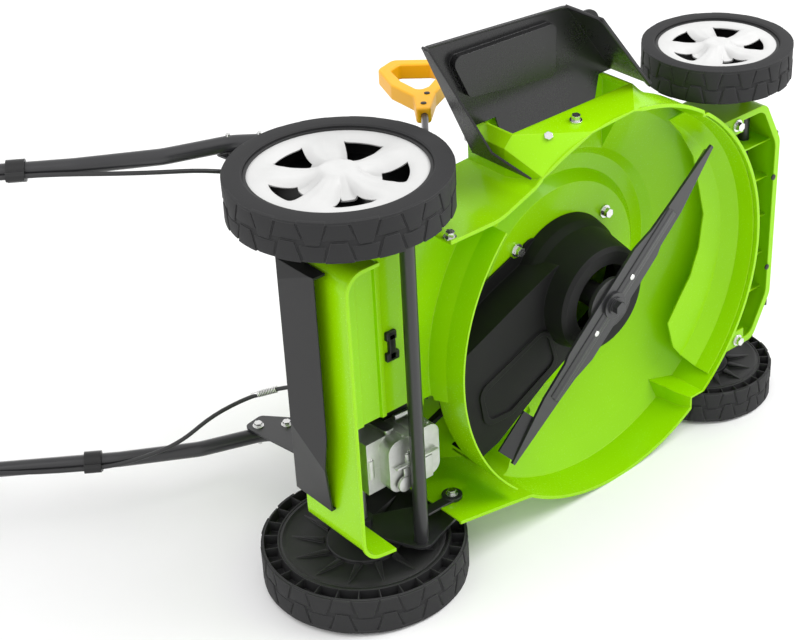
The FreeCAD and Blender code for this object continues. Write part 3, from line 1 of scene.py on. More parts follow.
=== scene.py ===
# %% [markdown]
# # A petrol rotary lawn mower, lying on its left side
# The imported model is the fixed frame: every CAD piece already stands in its place, in
# metres, with X to the mower's left, Y to the rear and Z up. Nothing in it is moved or
# turned. The camera and the floor are turned instead, so that the mower is seen lying on
# its left wheels. The frame is loaded first, because the wheels and the stage are worked
# out from its boxes.

# %% Frame
import json
import math

import bmesh
import bpy
from mathutils import Matrix, Vector


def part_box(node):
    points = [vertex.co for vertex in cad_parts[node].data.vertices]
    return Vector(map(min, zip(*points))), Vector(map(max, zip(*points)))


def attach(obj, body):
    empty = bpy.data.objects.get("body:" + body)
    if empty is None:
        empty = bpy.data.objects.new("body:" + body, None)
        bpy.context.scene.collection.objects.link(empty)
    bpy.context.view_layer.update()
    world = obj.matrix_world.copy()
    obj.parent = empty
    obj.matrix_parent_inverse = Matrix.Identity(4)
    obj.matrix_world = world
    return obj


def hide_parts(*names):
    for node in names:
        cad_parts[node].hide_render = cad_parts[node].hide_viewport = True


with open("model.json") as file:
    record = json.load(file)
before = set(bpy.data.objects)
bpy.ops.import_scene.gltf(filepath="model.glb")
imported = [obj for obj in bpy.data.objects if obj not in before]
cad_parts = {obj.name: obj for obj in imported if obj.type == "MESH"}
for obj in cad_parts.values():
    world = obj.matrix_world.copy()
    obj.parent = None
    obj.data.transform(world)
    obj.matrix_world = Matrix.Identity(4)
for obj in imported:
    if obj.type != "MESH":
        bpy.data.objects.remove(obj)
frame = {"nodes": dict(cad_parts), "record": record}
nodes = frame["nodes"]
scene = bpy.context.scene
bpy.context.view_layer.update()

# %% [markdown]
# ## Camera
# A long lens from below and behind the mower's right side shows its underside while it
# lies on its left wheels. The camera's turn is given by the three directions right, up and
# back, so nothing has to be guessed from angles.

# %% Camera
camera_place = Vector((-1.2694, 1.5239, -1.4107))
camera_right = Vector((0.04617, -0.76394, -0.64363))
camera_up = Vector((-0.85091, -0.36759, 0.37526))
camera_back = Vector((-0.52327, 0.53034, -0.66702))
camera_data = bpy.data.cameras.new("camera")
camera_data.lens = 81.97
camera_data.sensor_width = 36.0
camera_data.clip_start = 0.05
camera_data.clip_end = 60.0
camera = bpy.data.objects.new("camera", camera_data)
turn = Matrix((camera_right, camera_up, camera_back)).transposed().to_4x4()
camera.matrix_world = Matrix.Translation(camera_place) @ turn
scene.collection.objects.link(camera)
scene.camera = camera
scene.view_settings.view_transform = "Standard"
print("camera stands", round(camera_place.length, 2), "m from the origin")

# %% [markdown]
# ## Shader sums as Python
# A finish is easier to read as a sum such as `0.3 + 0.1 * grain` than as a chain of nodes.
# `Value` wraps one socket and turns Python's operators into Math nodes. `Finish` owns one
# material and makes every node through a single method, `add`. A colour mix node has many
# sockets of one name, so its sockets are picked by number. An edge is where the rounded
# normal turns away from the flat one.

# %% Values and finishes
MIX_SHARE, MIX_FIRST, MIX_SECOND, MIX_RESULT = 0, 6, 7, 2
EDGE_STARTS, EDGE_FULL = 0.01, 0.12


class Value:
    """One shader socket that takes part in Python sums."""

    def __init__(self, finish, socket):
        self.finish = finish
        self.socket = socket

    def _math(self, operation, first, second):
        return self.finish.add("ShaderNodeMath", {"operation": operation}, {0: first, 1: second})

    def __add__(self, other):
        return self._math("ADD", self, other)

    def __mul__(self, other):
        return self._math("MULTIPLY", self, other)

    def __rsub__(self, other):
        return self._math("SUBTRACT", other, self)

    __radd__ = __add__
    __rmul__ = __mul__


class Finish:
    """One material, built node by node."""

    def __init__(self, name):
        self.material = bpy.data.materials.new(name)
        self.material.use_nodes = True
        self.tree = self.material.node_tree
        self.tree.nodes.clear()
        self.place = self.add("ShaderNodeTexCoord", output="Object")

    def add(self, kind, settings=None, inputs=None, output=0):
        """A node with its settings, then its sockets' values or links."""
        node = self.tree.nodes.new(kind)
        for key, value in (settings or {}).items():
            setattr(node, key, value)
        for key, value in (inputs or {}).items():
            self.feed(node.inputs[key], value)
        return Value(self, node.outputs[output]) if node.outputs else None

    def feed(self, socket, value):
        """Link a socket to a Value, or give it a number, a direction or a colour."""
        if isinstance(value, Value):
            self.tree.links.new(value.socket, socket)
        elif socket.type == "RGBA":
            socket.default_value = (*value, 1.0)
        else:
            socket.default_value = value

    def noise(self, scale, detail=2.0, rough=0.5, place=None):
        """Noise of a scale in cells per metre."""
        return self.add("ShaderNodeTexNoise", {}, {
            "Vector": place or self.place, "Scale": scale, "Detail": detail, "Roughness": rough,
        })

    def ramp(self, value, low, high):
        """0 below low, 1 above high, straight between."""
        return self.add("ShaderNodeMapRange", {"clamp": True}, {
            "Value": value, "From Min": low, "From Max": high, "To Min": 0.0, "To Max": 1.0,
        })

    def mix(self, share, first, second):
        """Two colours mixed by a share from 0 to 1."""
        return self.add("ShaderNodeMix", {"data_type": "RGBA"}, {
            MIX_SHARE: share, MIX_FIRST: first, MIX_SECOND: second,
        }, MIX_RESULT)

    def edges(self, radius):
        """The normal with its edges rounded, and how near to an edge the spot is."""
        rounded = self.add("ShaderNodeBevel", {"samples": 4}, {"Radius": radius})
        flat = self.add("ShaderNodeNewGeometry", output="Normal")
        facing = self.add(
            "ShaderNodeVectorMath", {"operation": "DOT_PRODUCT"}, {0: rounded, 1: flat}, "Value",
        )
        return rounded, self.ramp(1.0 - facing, EDGE_STARTS, EDGE_FULL)

    def bump(self, height, distance, strength=1.0, normal=None):
        """Small relief; distance is its depth in metres."""
        inputs = {"Height": height, "Distance": distance, "Strength": strength}
        if normal:
            inputs["Normal"] = normal
        return self.add("ShaderNodeBump", {}, inputs)

    def surface(self, **sockets):
        """The closing shader."""
        shader = self.add("ShaderNodeBsdfPrincipled", {}, {
            key.replace("_", " "): value for key, value in sockets.items()
        })
        self.add("ShaderNodeOutputMaterial", {}, {"Surface": shader})
        return self.material


def shade(colour, factor, lift=0.0):
    """A darker or paler form of a colour, kept within 1."""
    return [min(1.0, channel * factor + lift) for channel in colour]


print("shader helpers ready")

# %% [markdown]
# ## Gloss green enamel
# Pressed steel is sprayed and baked, so the coat is glossy and very slightly wavy. Its colour is
# painted paler along pressed edges as a painted highlight. Fine dust dulls it in patches. The wave
# and the dust are noise at two scales, and a clear coat gives the second, sharper highlight.

# %% Green enamel
DUST_GRAIN, DUST_COLOUR = 420.0, (0.50, 0.70, 0.15)
FLOW_GRAIN, FLOW_DEPTH = 55.0, 0.00035


def enamel(name, colour, edge_highlight_colour, dull):
    """Sprayed enamel: flow marks, dust, and rounded edges painted paler as a painted highlight."""
    finish = Finish(name)
    rounded, edge = finish.edges(0.0016)
    patches = finish.noise(9.0, 3.0)
    dust = finish.ramp(finish.noise(DUST_GRAIN, 2.0), 0.62, 0.8)
    tone = finish.mix(patches, shade(colour, 0.93), shade(colour, 1.07))
    # painted highlight: rounded edges are mixed towards a paler green
    tone = finish.mix(edge * 0.55, tone, edge_highlight_colour)
    tone = finish.mix(dust * 0.08, tone, DUST_COLOUR)
    flow = finish.noise(FLOW_GRAIN, 1.0)
    return finish.surface(
        Base_Color=tone,
        Roughness=dull + 0.07 * patches + 0.18 * dust,
        Coat_Weight=0.14 - 0.10 * dust,
        Coat_Roughness=0.05,
        Specular_IOR_Level=0.2,
        Normal=finish.bump(flow, FLOW_DEPTH, 0.5, rounded),
    )


green = (0.300, 0.665, 0.0)
green_paint = enamel("green_paint", green, (0.52, 0.84, 0.04), 0.22)
green_moulding = enamel("green_moulding", (0.285, 0.64, 0.0), (0.48, 0.78, 0.04), 0.28)
print("green enamel ready")

# %% [markdown]
# ## Moulded plastics and rubber
# Moulded parts carry a spark-eroded grain from their tool, which catches light as a fine
# sparkle and dulls the gloss. Handling scuffs them along edges and in thin scratches. One
# function makes all of them, because they differ only in colour, gloss and grain.

# %% Mouldings
SCRATCH_STRETCH = (40.0, 900.0, 260.0)


def moulding(name, colour, dull, grain, depth, scuff, edge_radius=0.0012, gloss=0.5):
    """Moulded plastic or rubber with tool grain, scuffed edges and faint scratches."""
    finish = Finish(name)
    rounded, edge = finish.edges(edge_radius)
    fine = finish.noise(grain, 2.0)
    patches = finish.noise(14.0, 3.0)
    stretched = finish.add("ShaderNodeMapping", {}, {"Vector": finish.place, "Scale": SCRATCH_STRETCH})
    scratches = finish.ramp(finish.noise(1.0, 2.0, place=stretched), 0.70, 0.78)
    tone = finish.mix(patches, shade(colour, 0.88), shade(colour, 1.12))
    tone = finish.mix(edge * scuff, tone, shade(colour, 1.6, 0.05))
    tone = finish.mix(scratches * scuff * 0.5, tone, shade(colour, 1.5, 0.03))
    return finish.surface(
        Base_Color=tone,
        Roughness=dull + 0.10 * patches + 0.06 * fine + 0.12 * scratches,
        Specular_IOR_Level=gloss,
        Normal=finish.bump(fine, depth, 0.6, rounded),
    )


black_moulding = moulding("black_moulding", (0.012, 0.012, 0.0125), 0.34, 900.0, 0.00012, 0.35, gloss=0.4)
black_gloss = moulding("black_gloss", (0.012, 0.012, 0.0125), 0.20, 300.0, 0.00003, 0.30, gloss=0.4)
black_matt = moulding("black_matt", (0.006, 0.006, 0.006), 0.48, 1400.0, 0.00012, 0.25, gloss=0.25)
grey_moulding = moulding("grey_moulding", (0.12, 0.12, 0.125), 0.42, 900.0, 0.0001, 0.3)
white_moulding = moulding("white_moulding", (0.60, 0.60, 0.595), 0.36, 700.0, 0.00006, 0.10, 0.0018)
yellow_moulding = moulding("yellow_moulding", (0.92, 0.44, 0.004), 0.34, 700.0, 0.00006, 0.25, 0.0018)
tyre_rubber = moulding("tyre_rubber", (0.026, 0.026, 0.027), 0.62, 1100.0, 0.00022, 0.5, 0.0012, 0.25)
black_rubber = moulding("black_rubber", (0.022, 0.022, 0.023), 0.55, 1300.0, 0.0002, 0.3)
grip_foam = moulding("grip_foam", (0.028, 0.028, 0.029), 0.78, 1800.0, 0.0005, 0.2)
cable_jacket = moulding("cable_jacket", (0.02, 0.02, 0.021), 0.36, 500.0, 0.00005, 0.2, 0.0005)
print("mouldings ready")

# %% [markdown]
# ## Metals
# Powder coat has a fine orange peel. Bright plate is smooth and almost a mirror. Cast
# aluminium is dull and sparkly with a pitted skin. Turned and drawn steel shows lines that
# run along the piece. Each is a metallic base with its own grain and tarnish.

# %% Metals
RUBBED_COLOUR = (0.10, 0.10, 0.10)
PEEL_GRAIN, PEEL_DEPTH = 620.0, 0.00012


def powder_coat(name, colour, dull):
    """Black powder coat with orange peel and rubbed edges."""
    finish = Finish(name)
    rounded, edge = finish.edges(0.0009)
    peel = finish.noise(PEEL_GRAIN, 2.0)
    patches = finish.noise(18.0, 3.0)
    tone = finish.mix(patches, shade(colour, 0.85), shade(colour, 1.2))
    tone = finish.mix(edge * 0.35, tone, RUBBED_COLOUR)
    return finish.surface(
        Base_Color=tone, Roughness=dull + 0.08 * patches + 0.05 * peel,
        Coat_Weight=0.25, Coat_Roughness=0.15, Normal=finish.bump(peel, PEEL_DEPTH, 0.5, rounded),
    )


def bare_metal(name, colour, dull, grain, depth, stretch=(1.0, 1.0, 1.0), stain=0.35):
    """Bare metal with grain, dull patches and bright edges."""
    finish = Finish(name)
    rounded, edge = finish.edges(0.0007)
    lines = finish.add("ShaderNodeMapping", {}, {"Vector": finish.place, "Scale": stretch})
    fine = finish.noise(grain, 3.0, place=lines)
    patches = finish.noise(45.0, 4.0, 0.6)
    tone = finish.mix(finish.ramp(patches, 0.35, 0.75) * stain, colour, shade(colour, 0.55))
    tone = finish.mix(edge * 0.4, tone, shade(colour, 1.25))
    return finish.surface(
        Base_Color=tone, Metallic=1.0, Roughness=dull + 0.14 * patches + 0.08 * fine,
        Normal=finish.bump(fine, depth, 0.7, rounded),
    )


black_steel = powder_coat("black_steel", (0.020, 0.020, 0.022), 0.27)
bright_zinc = bare_metal("bright_zinc", (0.78, 0.78, 0.77), 0.14, 400.0, 0.00003, stain=0.3)
steel = bare_metal("steel", (0.55, 0.55, 0.55), 0.26, 900.0, 0.00004, (0.1, 1.0, 1.0))
sintered_steel = bare_metal("sintered_steel", (0.10, 0.10, 0.10), 0.42, 1500.0, 0.00010)
heat_steel = bare_metal("heat_steel", (0.42, 0.37, 0.30), 0.34, 300.0, 0.00006, stain=0.8)
cast_aluminium = bare_metal("cast_aluminium", (0.72, 0.72, 0.71), 0.40, 1300.0, 0.00016)
print("metals ready")

# %% [markdown]
# ## Dressing the CAD pieces
# The record says which material slot each node takes. The slots become the finishes above,
# and a few nodes that share a slot differ in gloss, so those are named one by one.

# %% Finishes on the CAD pieces
finishes = {
    "green_paint": green_paint, "green_moulding": green_moulding, "white_moulding": white_moulding,
    "yellow_moulding": yellow_moulding, "black_moulding": black_moulding, "grey_moulding": grey_moulding,
    "black_rubber": black_rubber, "belt_rubber": black_rubber, "cable_jacket": cable_jacket,
    "tyre_rubber": tyre_rubber, "grip_foam": grip_foam, "black_steel": black_steel,
    "bright_zinc": bright_zinc, "steel": steel, "sintered_steel": sintered_steel,
    "heat_steel": heat_steel, "cast_aluminium": cast_aluminium,
}
own_finish = {"side_chute": black_gloss, "belt_cover": black_matt}
slot_of = {part["node"]: part["material_slot"] for part in frame["record"]["subparts"]}


def dress(piece, material):
    """Give a piece one finish."""
    piece.data.materials.clear()
    piece.data.materials.append(material)


for name, piece in nodes.items():
    dress(piece, own_finish.get(name, finishes[slot_of[name]]))
print(len(nodes), "CAD pieces dressed")

# %% [markdown]
# ## Modelling helpers
# Every new piece starts as a bmesh and ends as an object at the origin. A turned piece is
# a profile spun about the wheel's axle. Repeated lugs and ribs are made once and copied in
# with a transform, so a wheel stays short to describe.

# %% Helpers for new pieces
SHARP_CORNER = math.radians(30)
LUG_ROUNDING = 0.0007
bodies = frame["record"]["behaviour"]["bodies"]


def finished(name, work, node, material, smooth=32.0, stands_for=True):
    """Close a bmesh, make it a piece that rides with a CAD node, and dress it."""
    bmesh.ops.recalc_face_normals(work, faces=work.faces)
    mesh = bpy.data.meshes.new(name)
    work.to_mesh(mesh)
    work.free()
    piece = bpy.data.objects.new(name, mesh)
    scene.collection.objects.link(piece)
    mesh.polygons.foreach_set("use_smooth", [True] * len(mesh.polygons))
    mesh.set_sharp_from_angle(angle=math.radians(smooth))
    dress(piece, material)
    body = next(b for b, names in bodies.items() if node in names)
    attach(piece, body)
    if stands_for:
        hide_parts(node)
    return piece


def turned(profile, steps=96):
    """A solid turned about the X axis from a closed (x, radius) profile."""
    work = bmesh.new()
    ring = [work.verts.new((x, 0.0, reach)) for x, reach in profile]
    edges = [work.edges.new((ring[i], ring[(i + 1) % len(ring)])) for i in range(len(ring))]
    bmesh.ops.spin(
        work, geom=ring + edges, cent=(0, 0, 0), axis=(1, 0, 0), angle=math.tau,
        steps=steps, use_merge=True,
    )
    return work


def add_copy(work, mesh, matrix):
    """Join a moved copy of a mesh into a bmesh."""
    start = len(work.verts)
    work.from_mesh(mesh)
    work.verts.ensure_lookup_table()
    bmesh.ops.transform(work, matrix=matrix, verts=work.verts[start:])


def as_mesh(work):
    """A bmesh turned into a mesh for copying."""
    mesh = bpy.data.meshes.new("copied")
    work.to_mesh(mesh)
    work.free()
    return mesh


def bevel(work, width, segments=2, edges=None):
    """Round edges; all sharp ones when none are named."""
    if edges is None:
        inner = [edge for edge in work.edges if len(edge.link_faces) == 2]
        edges = [edge for edge in inner if edge.calc_face_angle() > SHARP_CORNER]
    bmesh.ops.bevel(
        work, geom=edges, offset=width, offset_type="OFFSET", affect="EDGES", segments=segments,
        profile=0.5, material=-1, clamp_overlap=True,
    )


def wrapped_lug(near, far, near_half, far_half, foot, top, turns=6):
    """A tread lug: a trapezoid between two places across, wrapped on a cylinder."""
    work = bmesh.new()
    bmesh.ops.create_grid(work, x_segments=turns, y_segments=1, size=1.0)
    for vert in work.verts:
        across = (vert.co.y + 1) / 2
        half = near_half + (far_half - near_half) * across
        vert.co = Vector((vert.co.x * half, near + (far - near) * across, 0))
    made = bmesh.ops.extrude_face_region(work, geom=list(work.faces))
    lifted = [part for part in made["geom"] if isinstance(part, bmesh.types.BMVert)]
    for vert in work.verts:
        vert.co.z = foot
    for vert in lifted:
        vert.co.z = top
    bmesh.ops.recalc_face_normals(work, faces=work.faces)
    bevel(work, LUG_ROUNDING)
    for vert in work.verts:
        angle = vert.co.x / top
        vert.co = Vector((vert.co.y, vert.co.z * math.sin(angle), vert.co.z * math.cos(angle)))
    return as_mesh(work)


print("modelling helpers ready")

# %% [markdown]
# ## Tyres
# Each wheel is three mouldings, and all three are worked out from the tyre's box, so the
# small and the large wheels share them. The tyre has broad wedge lugs that point inwards
# from both shoulders, with flat pads between them. Its inner side is hollow with thin ribs.

# %% Tyres
LUGS = 14
SEAT_SHARE = 0.815
TREAD_DEPTH = 0.0022
LUG_ROOT = 0.004
RIB_WIDTH, RIB_THICKNESS = 0.017, 0.0012
WHEELS = ("front_left", "front_right", "rear_left", "rear_right")


def wheel_place(name):
    """Centre on the mid-plane, radius, half width and outward sign of a wheel."""
    low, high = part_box(f"{name}_tyre")
    centre = (low + high) / 2
    return centre, (high.z - low.z) / 2, (high.x - low.x) / 2, math.copysign(1, centre.x)


def placed(work, centre, outward):
    """Turn a wheel piece outwards and move it to its centre."""
    if outward < 0:
        bmesh.ops.scale(work, vec=(-1, 1, 1), verts=work.verts)
        bmesh.ops.reverse_faces(work, faces=work.faces)
    bmesh.ops.translate(work, vec=centre, verts=work.verts)


def make_tyre(name):
    """Tyre with two staggered rows of lugs and a ribbed hollow inner side."""
    centre, radius, half, outward = wheel_place(name)
    bead = radius * SEAT_SHARE + 0.0004
    tread = radius - TREAD_DEPTH
    work = turned([
        (half - 0.002, bead), (half - 0.0004, bead + 0.002), (half, radius * 0.88),
        (half - 0.0006, radius * 0.955), (half - 0.0016, radius - 0.0003),
        (half - 0.0048, radius - 0.0003), (half - 0.0058, tread), (-half + 0.003, tread),
        (-half, tread - 0.002), (-half, radius * 0.965), (-half + 0.016, radius * 0.955),
        (-half + 0.016, radius * 0.845), (-half + 0.0008, radius * 0.835), (-half + 0.0008, bead),
    ])
    pitch = math.tau / LUGS
    arc = radius * pitch
    # Each kind: where it starts and ends across the tread, half its length at both ends,
    # the radius of its top, and its shift round the tyre in pitches.
    lug_kinds = (
        (half - 0.0012, half * -0.12, arc * 0.275, arc * 0.125, radius, 0.0),
        (half - 0.0022, half * 0.10, arc * 0.170, arc * 0.300, radius - 0.0006, 0.5),
        (-half + 0.0012, half * -0.02, arc * 0.275, arc * 0.150, radius, 0.5),
        (-half + 0.0022, half * -0.20, arc * 0.170, arc * 0.260, radius - 0.0006, 0.0),
    )
    for near, far, near_half, far_half, top, shift in lug_kinds:
        lug = wrapped_lug(near, far, near_half, far_half, radius - LUG_ROOT, top)
        for i in range(LUGS):
            add_copy(work, lug, Matrix.Rotation((i + shift) * pitch, 4, "X"))
    rib = bmesh.new()
    bmesh.ops.create_cube(rib, size=1.0)
    bmesh.ops.scale(rib, vec=(RIB_WIDTH, RIB_THICKNESS, radius * 0.13), verts=rib.verts)
    bmesh.ops.translate(rib, vec=(-half + 0.0095, 0, radius * 0.902), verts=rib.verts)
    bevel(rib, 0.0003)
    rib = as_mesh(rib)
    for i in range(LUGS * 2):
        add_copy(work, rib, Matrix.Rotation((i + 0.3) * pitch / 2, 4, "X"))
    placed(work, centre, outward)
    return finished(f"{name}_tread_tyre", work, f"{name}_tyre", tyre_rubber)


tyres = [make_tyre(name) for name in WHEELS]
print(len(tyres), "tyres with", LUGS, "lugs a row")

# %% [markdown]
# ## Rims
# The rim is a shallow dish that is seen from inside. It has a hub tube round the axle, an
# outer ring that carries the tyre and a ring of wedge-shaped stiffeners between them.

# %% Rims
STIFFENERS = 13
AXLE_CLEARANCE = 0.0001


def make_rim(name):
    """Dished rim: hub disc, wedge stiffeners, outer ring and hub tube."""
    centre, radius, half, outward = wheel_place(name)
    shaft_low, shaft_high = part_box("drive_shaft")
    bore = (shaft_high.z - shaft_low.z) / 2 + AXLE_CLEARANCE
    seat = radius * SEAT_SHARE
    work = turned([
        (-half + 0.0015, bore), (-half + 0.0015, radius * 0.125), (-half + 0.006, radius * 0.135),
        (-half + 0.006, radius * 0.36), (-half + 0.0075, radius * 0.368), (-half + 0.0105, radius * 0.372),
        (-half + 0.0085, radius * 0.60), (-half + 0.005, radius * 0.75), (-half + 0.002, radius * 0.785),
        (-half + 0.0015, radius * 0.79), (-half + 0.0015, seat), (half - 0.004, seat),
        (half - 0.004, seat - 0.004), (-half + 0.018, seat - 0.004), (-half + 0.016, radius * 0.30),
        (half - 0.012, radius * 0.13), (half - 0.012, bore),
    ])
    wedge = bmesh.new()
    bmesh.ops.create_cube(wedge, size=1.0)
    for vert in wedge.verts:
        far = vert.co.z > 0
        vert.co.y *= 0.0012 if far else 0.010
        vert.co.y -= 0.008 if far else 0.0
        vert.co.z = radius * (0.70 if far else 0.385)
        if vert.co.x < 0:
            vert.co.x = -half + (0.0055 if far else 0.0068)
        else:
            vert.co.x = -half + 0.013
    bevel(wedge, 0.0005)
    wedge = as_mesh(wedge)
    for i in range(STIFFENERS):
        add_copy(work, wedge, Matrix.Rotation((i + 0.2) * math.tau / STIFFENERS, 4, "X"))
    placed(work, centre, outward)
    return finished(f"{name}_dished_rim", work, f"{name}_rim", black_moulding)


rims = [make_rim(name) for name in WHEELS]
print(len(rims), "rims")

# %% [markdown]
# ## Hubcaps
# The pale hubcap has five crowned spokes with a window between each pair. Its face is a
# grid laid round the axle, and a formula gives the height of every spot: a crown in the
# middle, a dish round it, scoops at the windows and a ridge along each spoke.

# %% Hubcaps
SPOKES = 5
FIRST_SPOKE = math.radians(47.0)
CAP_SHARE = 0.795
CAP_ROWS, CAP_COLUMNS = 30, 24
CAP_THICKNESS = 0.0026
WINDOW_IN, WINDOW_OUT = 0.47, 0.77
WINDOW_HALF, WINDOW_FLARE = 11, 7
WINDOW_COLUMNS = 0.5


def hubcap_height(share, column):
    """Height in radii at a share of the cap's radius; column is 0 on a spoke, 1 between two."""
    crown = 0.030 * math.exp(-((share - 0.14) / 0.22) ** 2)
    dish = 0.050 * math.exp(-((share - 0.42) / 0.20) ** 4)
    scoop = 0.085 * math.exp(-((share - 0.52) / 0.25) ** 4) * max(0.0, min(1.0, (column - 0.30) / 0.3))
    ridge = 0.014 * max(0.0, 1.0 - abs(column) / 0.16) * math.exp(-((share - 0.55) / 0.28) ** 4)
    step = 0.012 if share < 0.22 else 0.0
    return crown - dish * 0.35 - scoop + ridge + step


def window_edge(share):
    """Half angle of a window at a share of the cap's radius; it flares outwards."""
    along = min(1.0, max(0.0, (share - WINDOW_IN) / (WINDOW_OUT - WINDOW_IN)))
    return math.radians(WINDOW_HALF + WINDOW_FLARE * along)


def make_hubcap(name):
    """Hubcap from a grid laid out round the axle, with a window between spokes."""
    centre, radius, half, outward = wheel_place(name)
    cap = radius * CAP_SHARE
    face_x = half - 0.0006 - 0.042 * radius
    work = bmesh.new()
    bmesh.ops.create_grid(work, x_segments=SPOKES * CAP_COLUMNS, y_segments=CAP_ROWS, size=0.5)
    for vert in work.verts:
        share = vert.co.y + 0.5
        sector, place = divmod((vert.co.x + 0.5) * SPOKES * CAP_COLUMNS, CAP_COLUMNS)
        across = place / CAP_COLUMNS * 2 - 1
        edge = window_edge(share)
        if abs(across) <= WINDOW_COLUMNS:
            angle = edge * across / WINDOW_COLUMNS
        else:
            beyond = (abs(across) - WINDOW_COLUMNS) / (1 - WINDOW_COLUMNS)
            angle = math.copysign(edge + (math.pi / SPOKES - edge) * beyond, across)
        turn_angle = (sector + 0.5) * math.tau / SPOKES + angle + FIRST_SPOKE
        height = hubcap_height(share, 1 - abs(across)) * radius
        reach = cap * max(share, 0.0005)
        vert.co = Vector((face_x + height, reach * math.sin(turn_angle), reach * math.cos(turn_angle)))
    gaps = []
    for face in work.faces:
        spot = face.calc_center_median()
        share = math.hypot(spot.y, spot.z) / cap
        sector_turn = ((math.atan2(spot.y, spot.z) - FIRST_SPOKE) / (math.tau / SPOKES)) % 1.0 - 0.5
        inside = abs(sector_turn) * math.tau / SPOKES < window_edge(share)
        if WINDOW_IN < share < WINDOW_OUT and inside:
            gaps.append(face)
    bmesh.ops.delete(work, geom=gaps, context="FACES")
    bmesh.ops.remove_doubles(work, verts=work.verts, dist=0.0001)
    bmesh.ops.recalc_face_normals(work, faces=work.faces)
    bmesh.ops.solidify(work, geom=list(work.faces), thickness=CAP_THICKNESS)
    bmesh.ops.recalc_face_normals(work, faces=work.faces)
    placed(work, centre, outward)
    return finished(f"{name}_spoked_hubcap", work, f"{name}_hubcap", white_moulding)


hubcaps = [make_hubcap(name) for name in WHEELS]
print(len(hubcaps), "hubcaps with", SPOKES, "spokes")

# %% [markdown]
# ## Small parts
# Screws, caps and beads are discs, slabs and tubes with rounded edges. A tube is a curve
# with a round section, turned into a mesh, so rolled rims and springs share one function.

# %% Helpers for small parts
def disc(place, along, radius, height, sides=40, round_to=0.0005):
    """A disc or prism that stands on a place and points along a direction."""
    work = bmesh.new()
    bmesh.ops.create_cone(work, cap_ends=True, segments=sides, radius1=radius, radius2=radius, depth=height)
    bevel(work, round_to)
    turn = Vector(along).to_track_quat("Z", "Y").to_matrix().to_4x4()
    work.transform(Matrix.Translation(place) @ turn @ Matrix.Translation((0, 0, height / 2)))
    return work


def slab(size, place, turn=0.0, round_to=0.001):
    """A block with rounded edges, turned about Z."""
    work = bmesh.new()
    bmesh.ops.create_cube(work, size=1.0)
    bmesh.ops.scale(work, vec=size, verts=work.verts)
    bevel(work, round_to, 3)
    work.transform(Matrix.Translation(place) @ Matrix.Rotation(turn, 4, "Z"))
    return work


def tube(points, radius):
    """A round bead through a row of places."""
    curve = bpy.data.curves.new("bead", "CURVE")
    curve.dimensions = "3D"
    curve.bevel_depth = radius
    curve.bevel_resolution = 4
    curve.use_fill_caps = True
    spline = curve.splines.new("POLY")
    spline.points.add(len(points) - 1)
    for spot, place in zip(spline.points, points):
        spot.co = (*place, 1.0)
    holder = bpy.data.objects.new("bead", curve)
    mesh = bpy.data.meshes.new_from_object(holder)
    work = bmesh.new()
    work.from_mesh(mesh)
    bpy.data.objects.remove(holder)
    bpy.data.meshes.remove(mesh)
    return work


def rounded_path(points, reach, steps=8):
    """Places along straight lines whose corners are rounded."""
    points = [Vector(point) for point in points]
    path = [points[0]]
    for before, here, after in zip(points, points[1:], points[2:]):
        start = here + (before - here).normalized() * min(reach, (before - here).length / 2)
        end = here + (after - here).normalized() * min(reach, (after - here).length / 2)
        for i in range(steps + 1):
            done = i / steps
            path.append(start * (1 - done) ** 2 + here * (2 * done * (1 - done)) + end * done ** 2)
    path.append(points[-1])
    return path


def together(works):
    """Several bmeshes as one."""
    whole = bmesh.new()
    for work in works:
        add_copy(whole, as_mesh(work), Matrix.Identity(4))
    return whole


def hex_screw(place, along, radius):
    """A flanged hexagon head."""
    place, along = Vector(place), Vector(along).normalized()
    return [
        disc(place, along, radius * 1.35, radius * 0.3),
        disc(place + along * radius * 0.3, along, radius, radius * 0.75, 6, 0.0004),
    ]


print("small part helpers ready")

# %% [markdown]
# ## Blade, gearbox and linkage
# The blade has a pressed ridge along its middle and two bright rivets beside the bolt. The
# gearbox is held together by flanged screws and carries a blank plate, two round caps, a rib
# and four short fins. A black strap with a bright nut sits on the height bar on the left.

# %% Blade and gearbox details
crank_low, crank_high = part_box("crankshaft")
axis_x = (crank_low.x + crank_high.x) / 2
blade_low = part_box("blade")[0].z
blade_turn = math.radians(47.5)
rivet_spots = (-0.045, 0.045)
blade_way = Vector((math.cos(blade_turn), math.sin(blade_turn), 0))
centre_of_blade = Vector((axis_x, 0, blade_low))
ridge = [
    slab((0.300, 0.0200, 0.0030), centre_of_blade, blade_turn, 0.0012),
    slab((0.302, 0.0070, 0.0042), centre_of_blade, blade_turn, 0.0018),
]
finished("blade_ridge", together(ridge), "blade", black_steel, stands_for=False)
rivets = [
    disc(centre_of_blade + blade_way * spot - Vector((0, 0, 0.0015)), (0, 0, -1), 0.0042, 0.0012)
    for spot in rivet_spots
]
finished("blade_rivets", together(rivets), "blade", bright_zinc, stands_for=False)

case_low, case_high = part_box("gearbox_case")
cover_low, cover_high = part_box("gearbox_cover")
flange_x = case_high.x - 0.0165
screw_places = ((0.292, 0.084), (0.292, 0.116), (0.386, 0.100), (0.386, 0.158), (0.340, 0.079))
screws = []
for y, z in screw_places:
    screws += hex_screw((flange_x, y, z), (-1, 0, 0), 0.0042)
finished("gearbox_screws", together(screws), "gearbox_case", bright_zinc, stands_for=False)
plates = [
    slab((0.034, 0.048, 0.0024), ((cover_low.x + cover_high.x) / 2, 0.328, case_low.z - 0.0004), 0.0, 0.0008),
    disc((cover_high.x - 0.012, 0.352, case_low.z + 0.001), (0, 0, -1), 0.011, 0.0045),
    disc((case_low.x + 0.016, 0.330, case_low.z + 0.001), (0, 0, -1), 0.008, 0.004),
    slab((0.003, 0.070, 0.006), (case_high.x - 0.004, 0.330, case_low.z - 0.001), 0.0, 0.001),
]
first_fin, fin_pitch, fin_count = 0.302, 0.014, 4
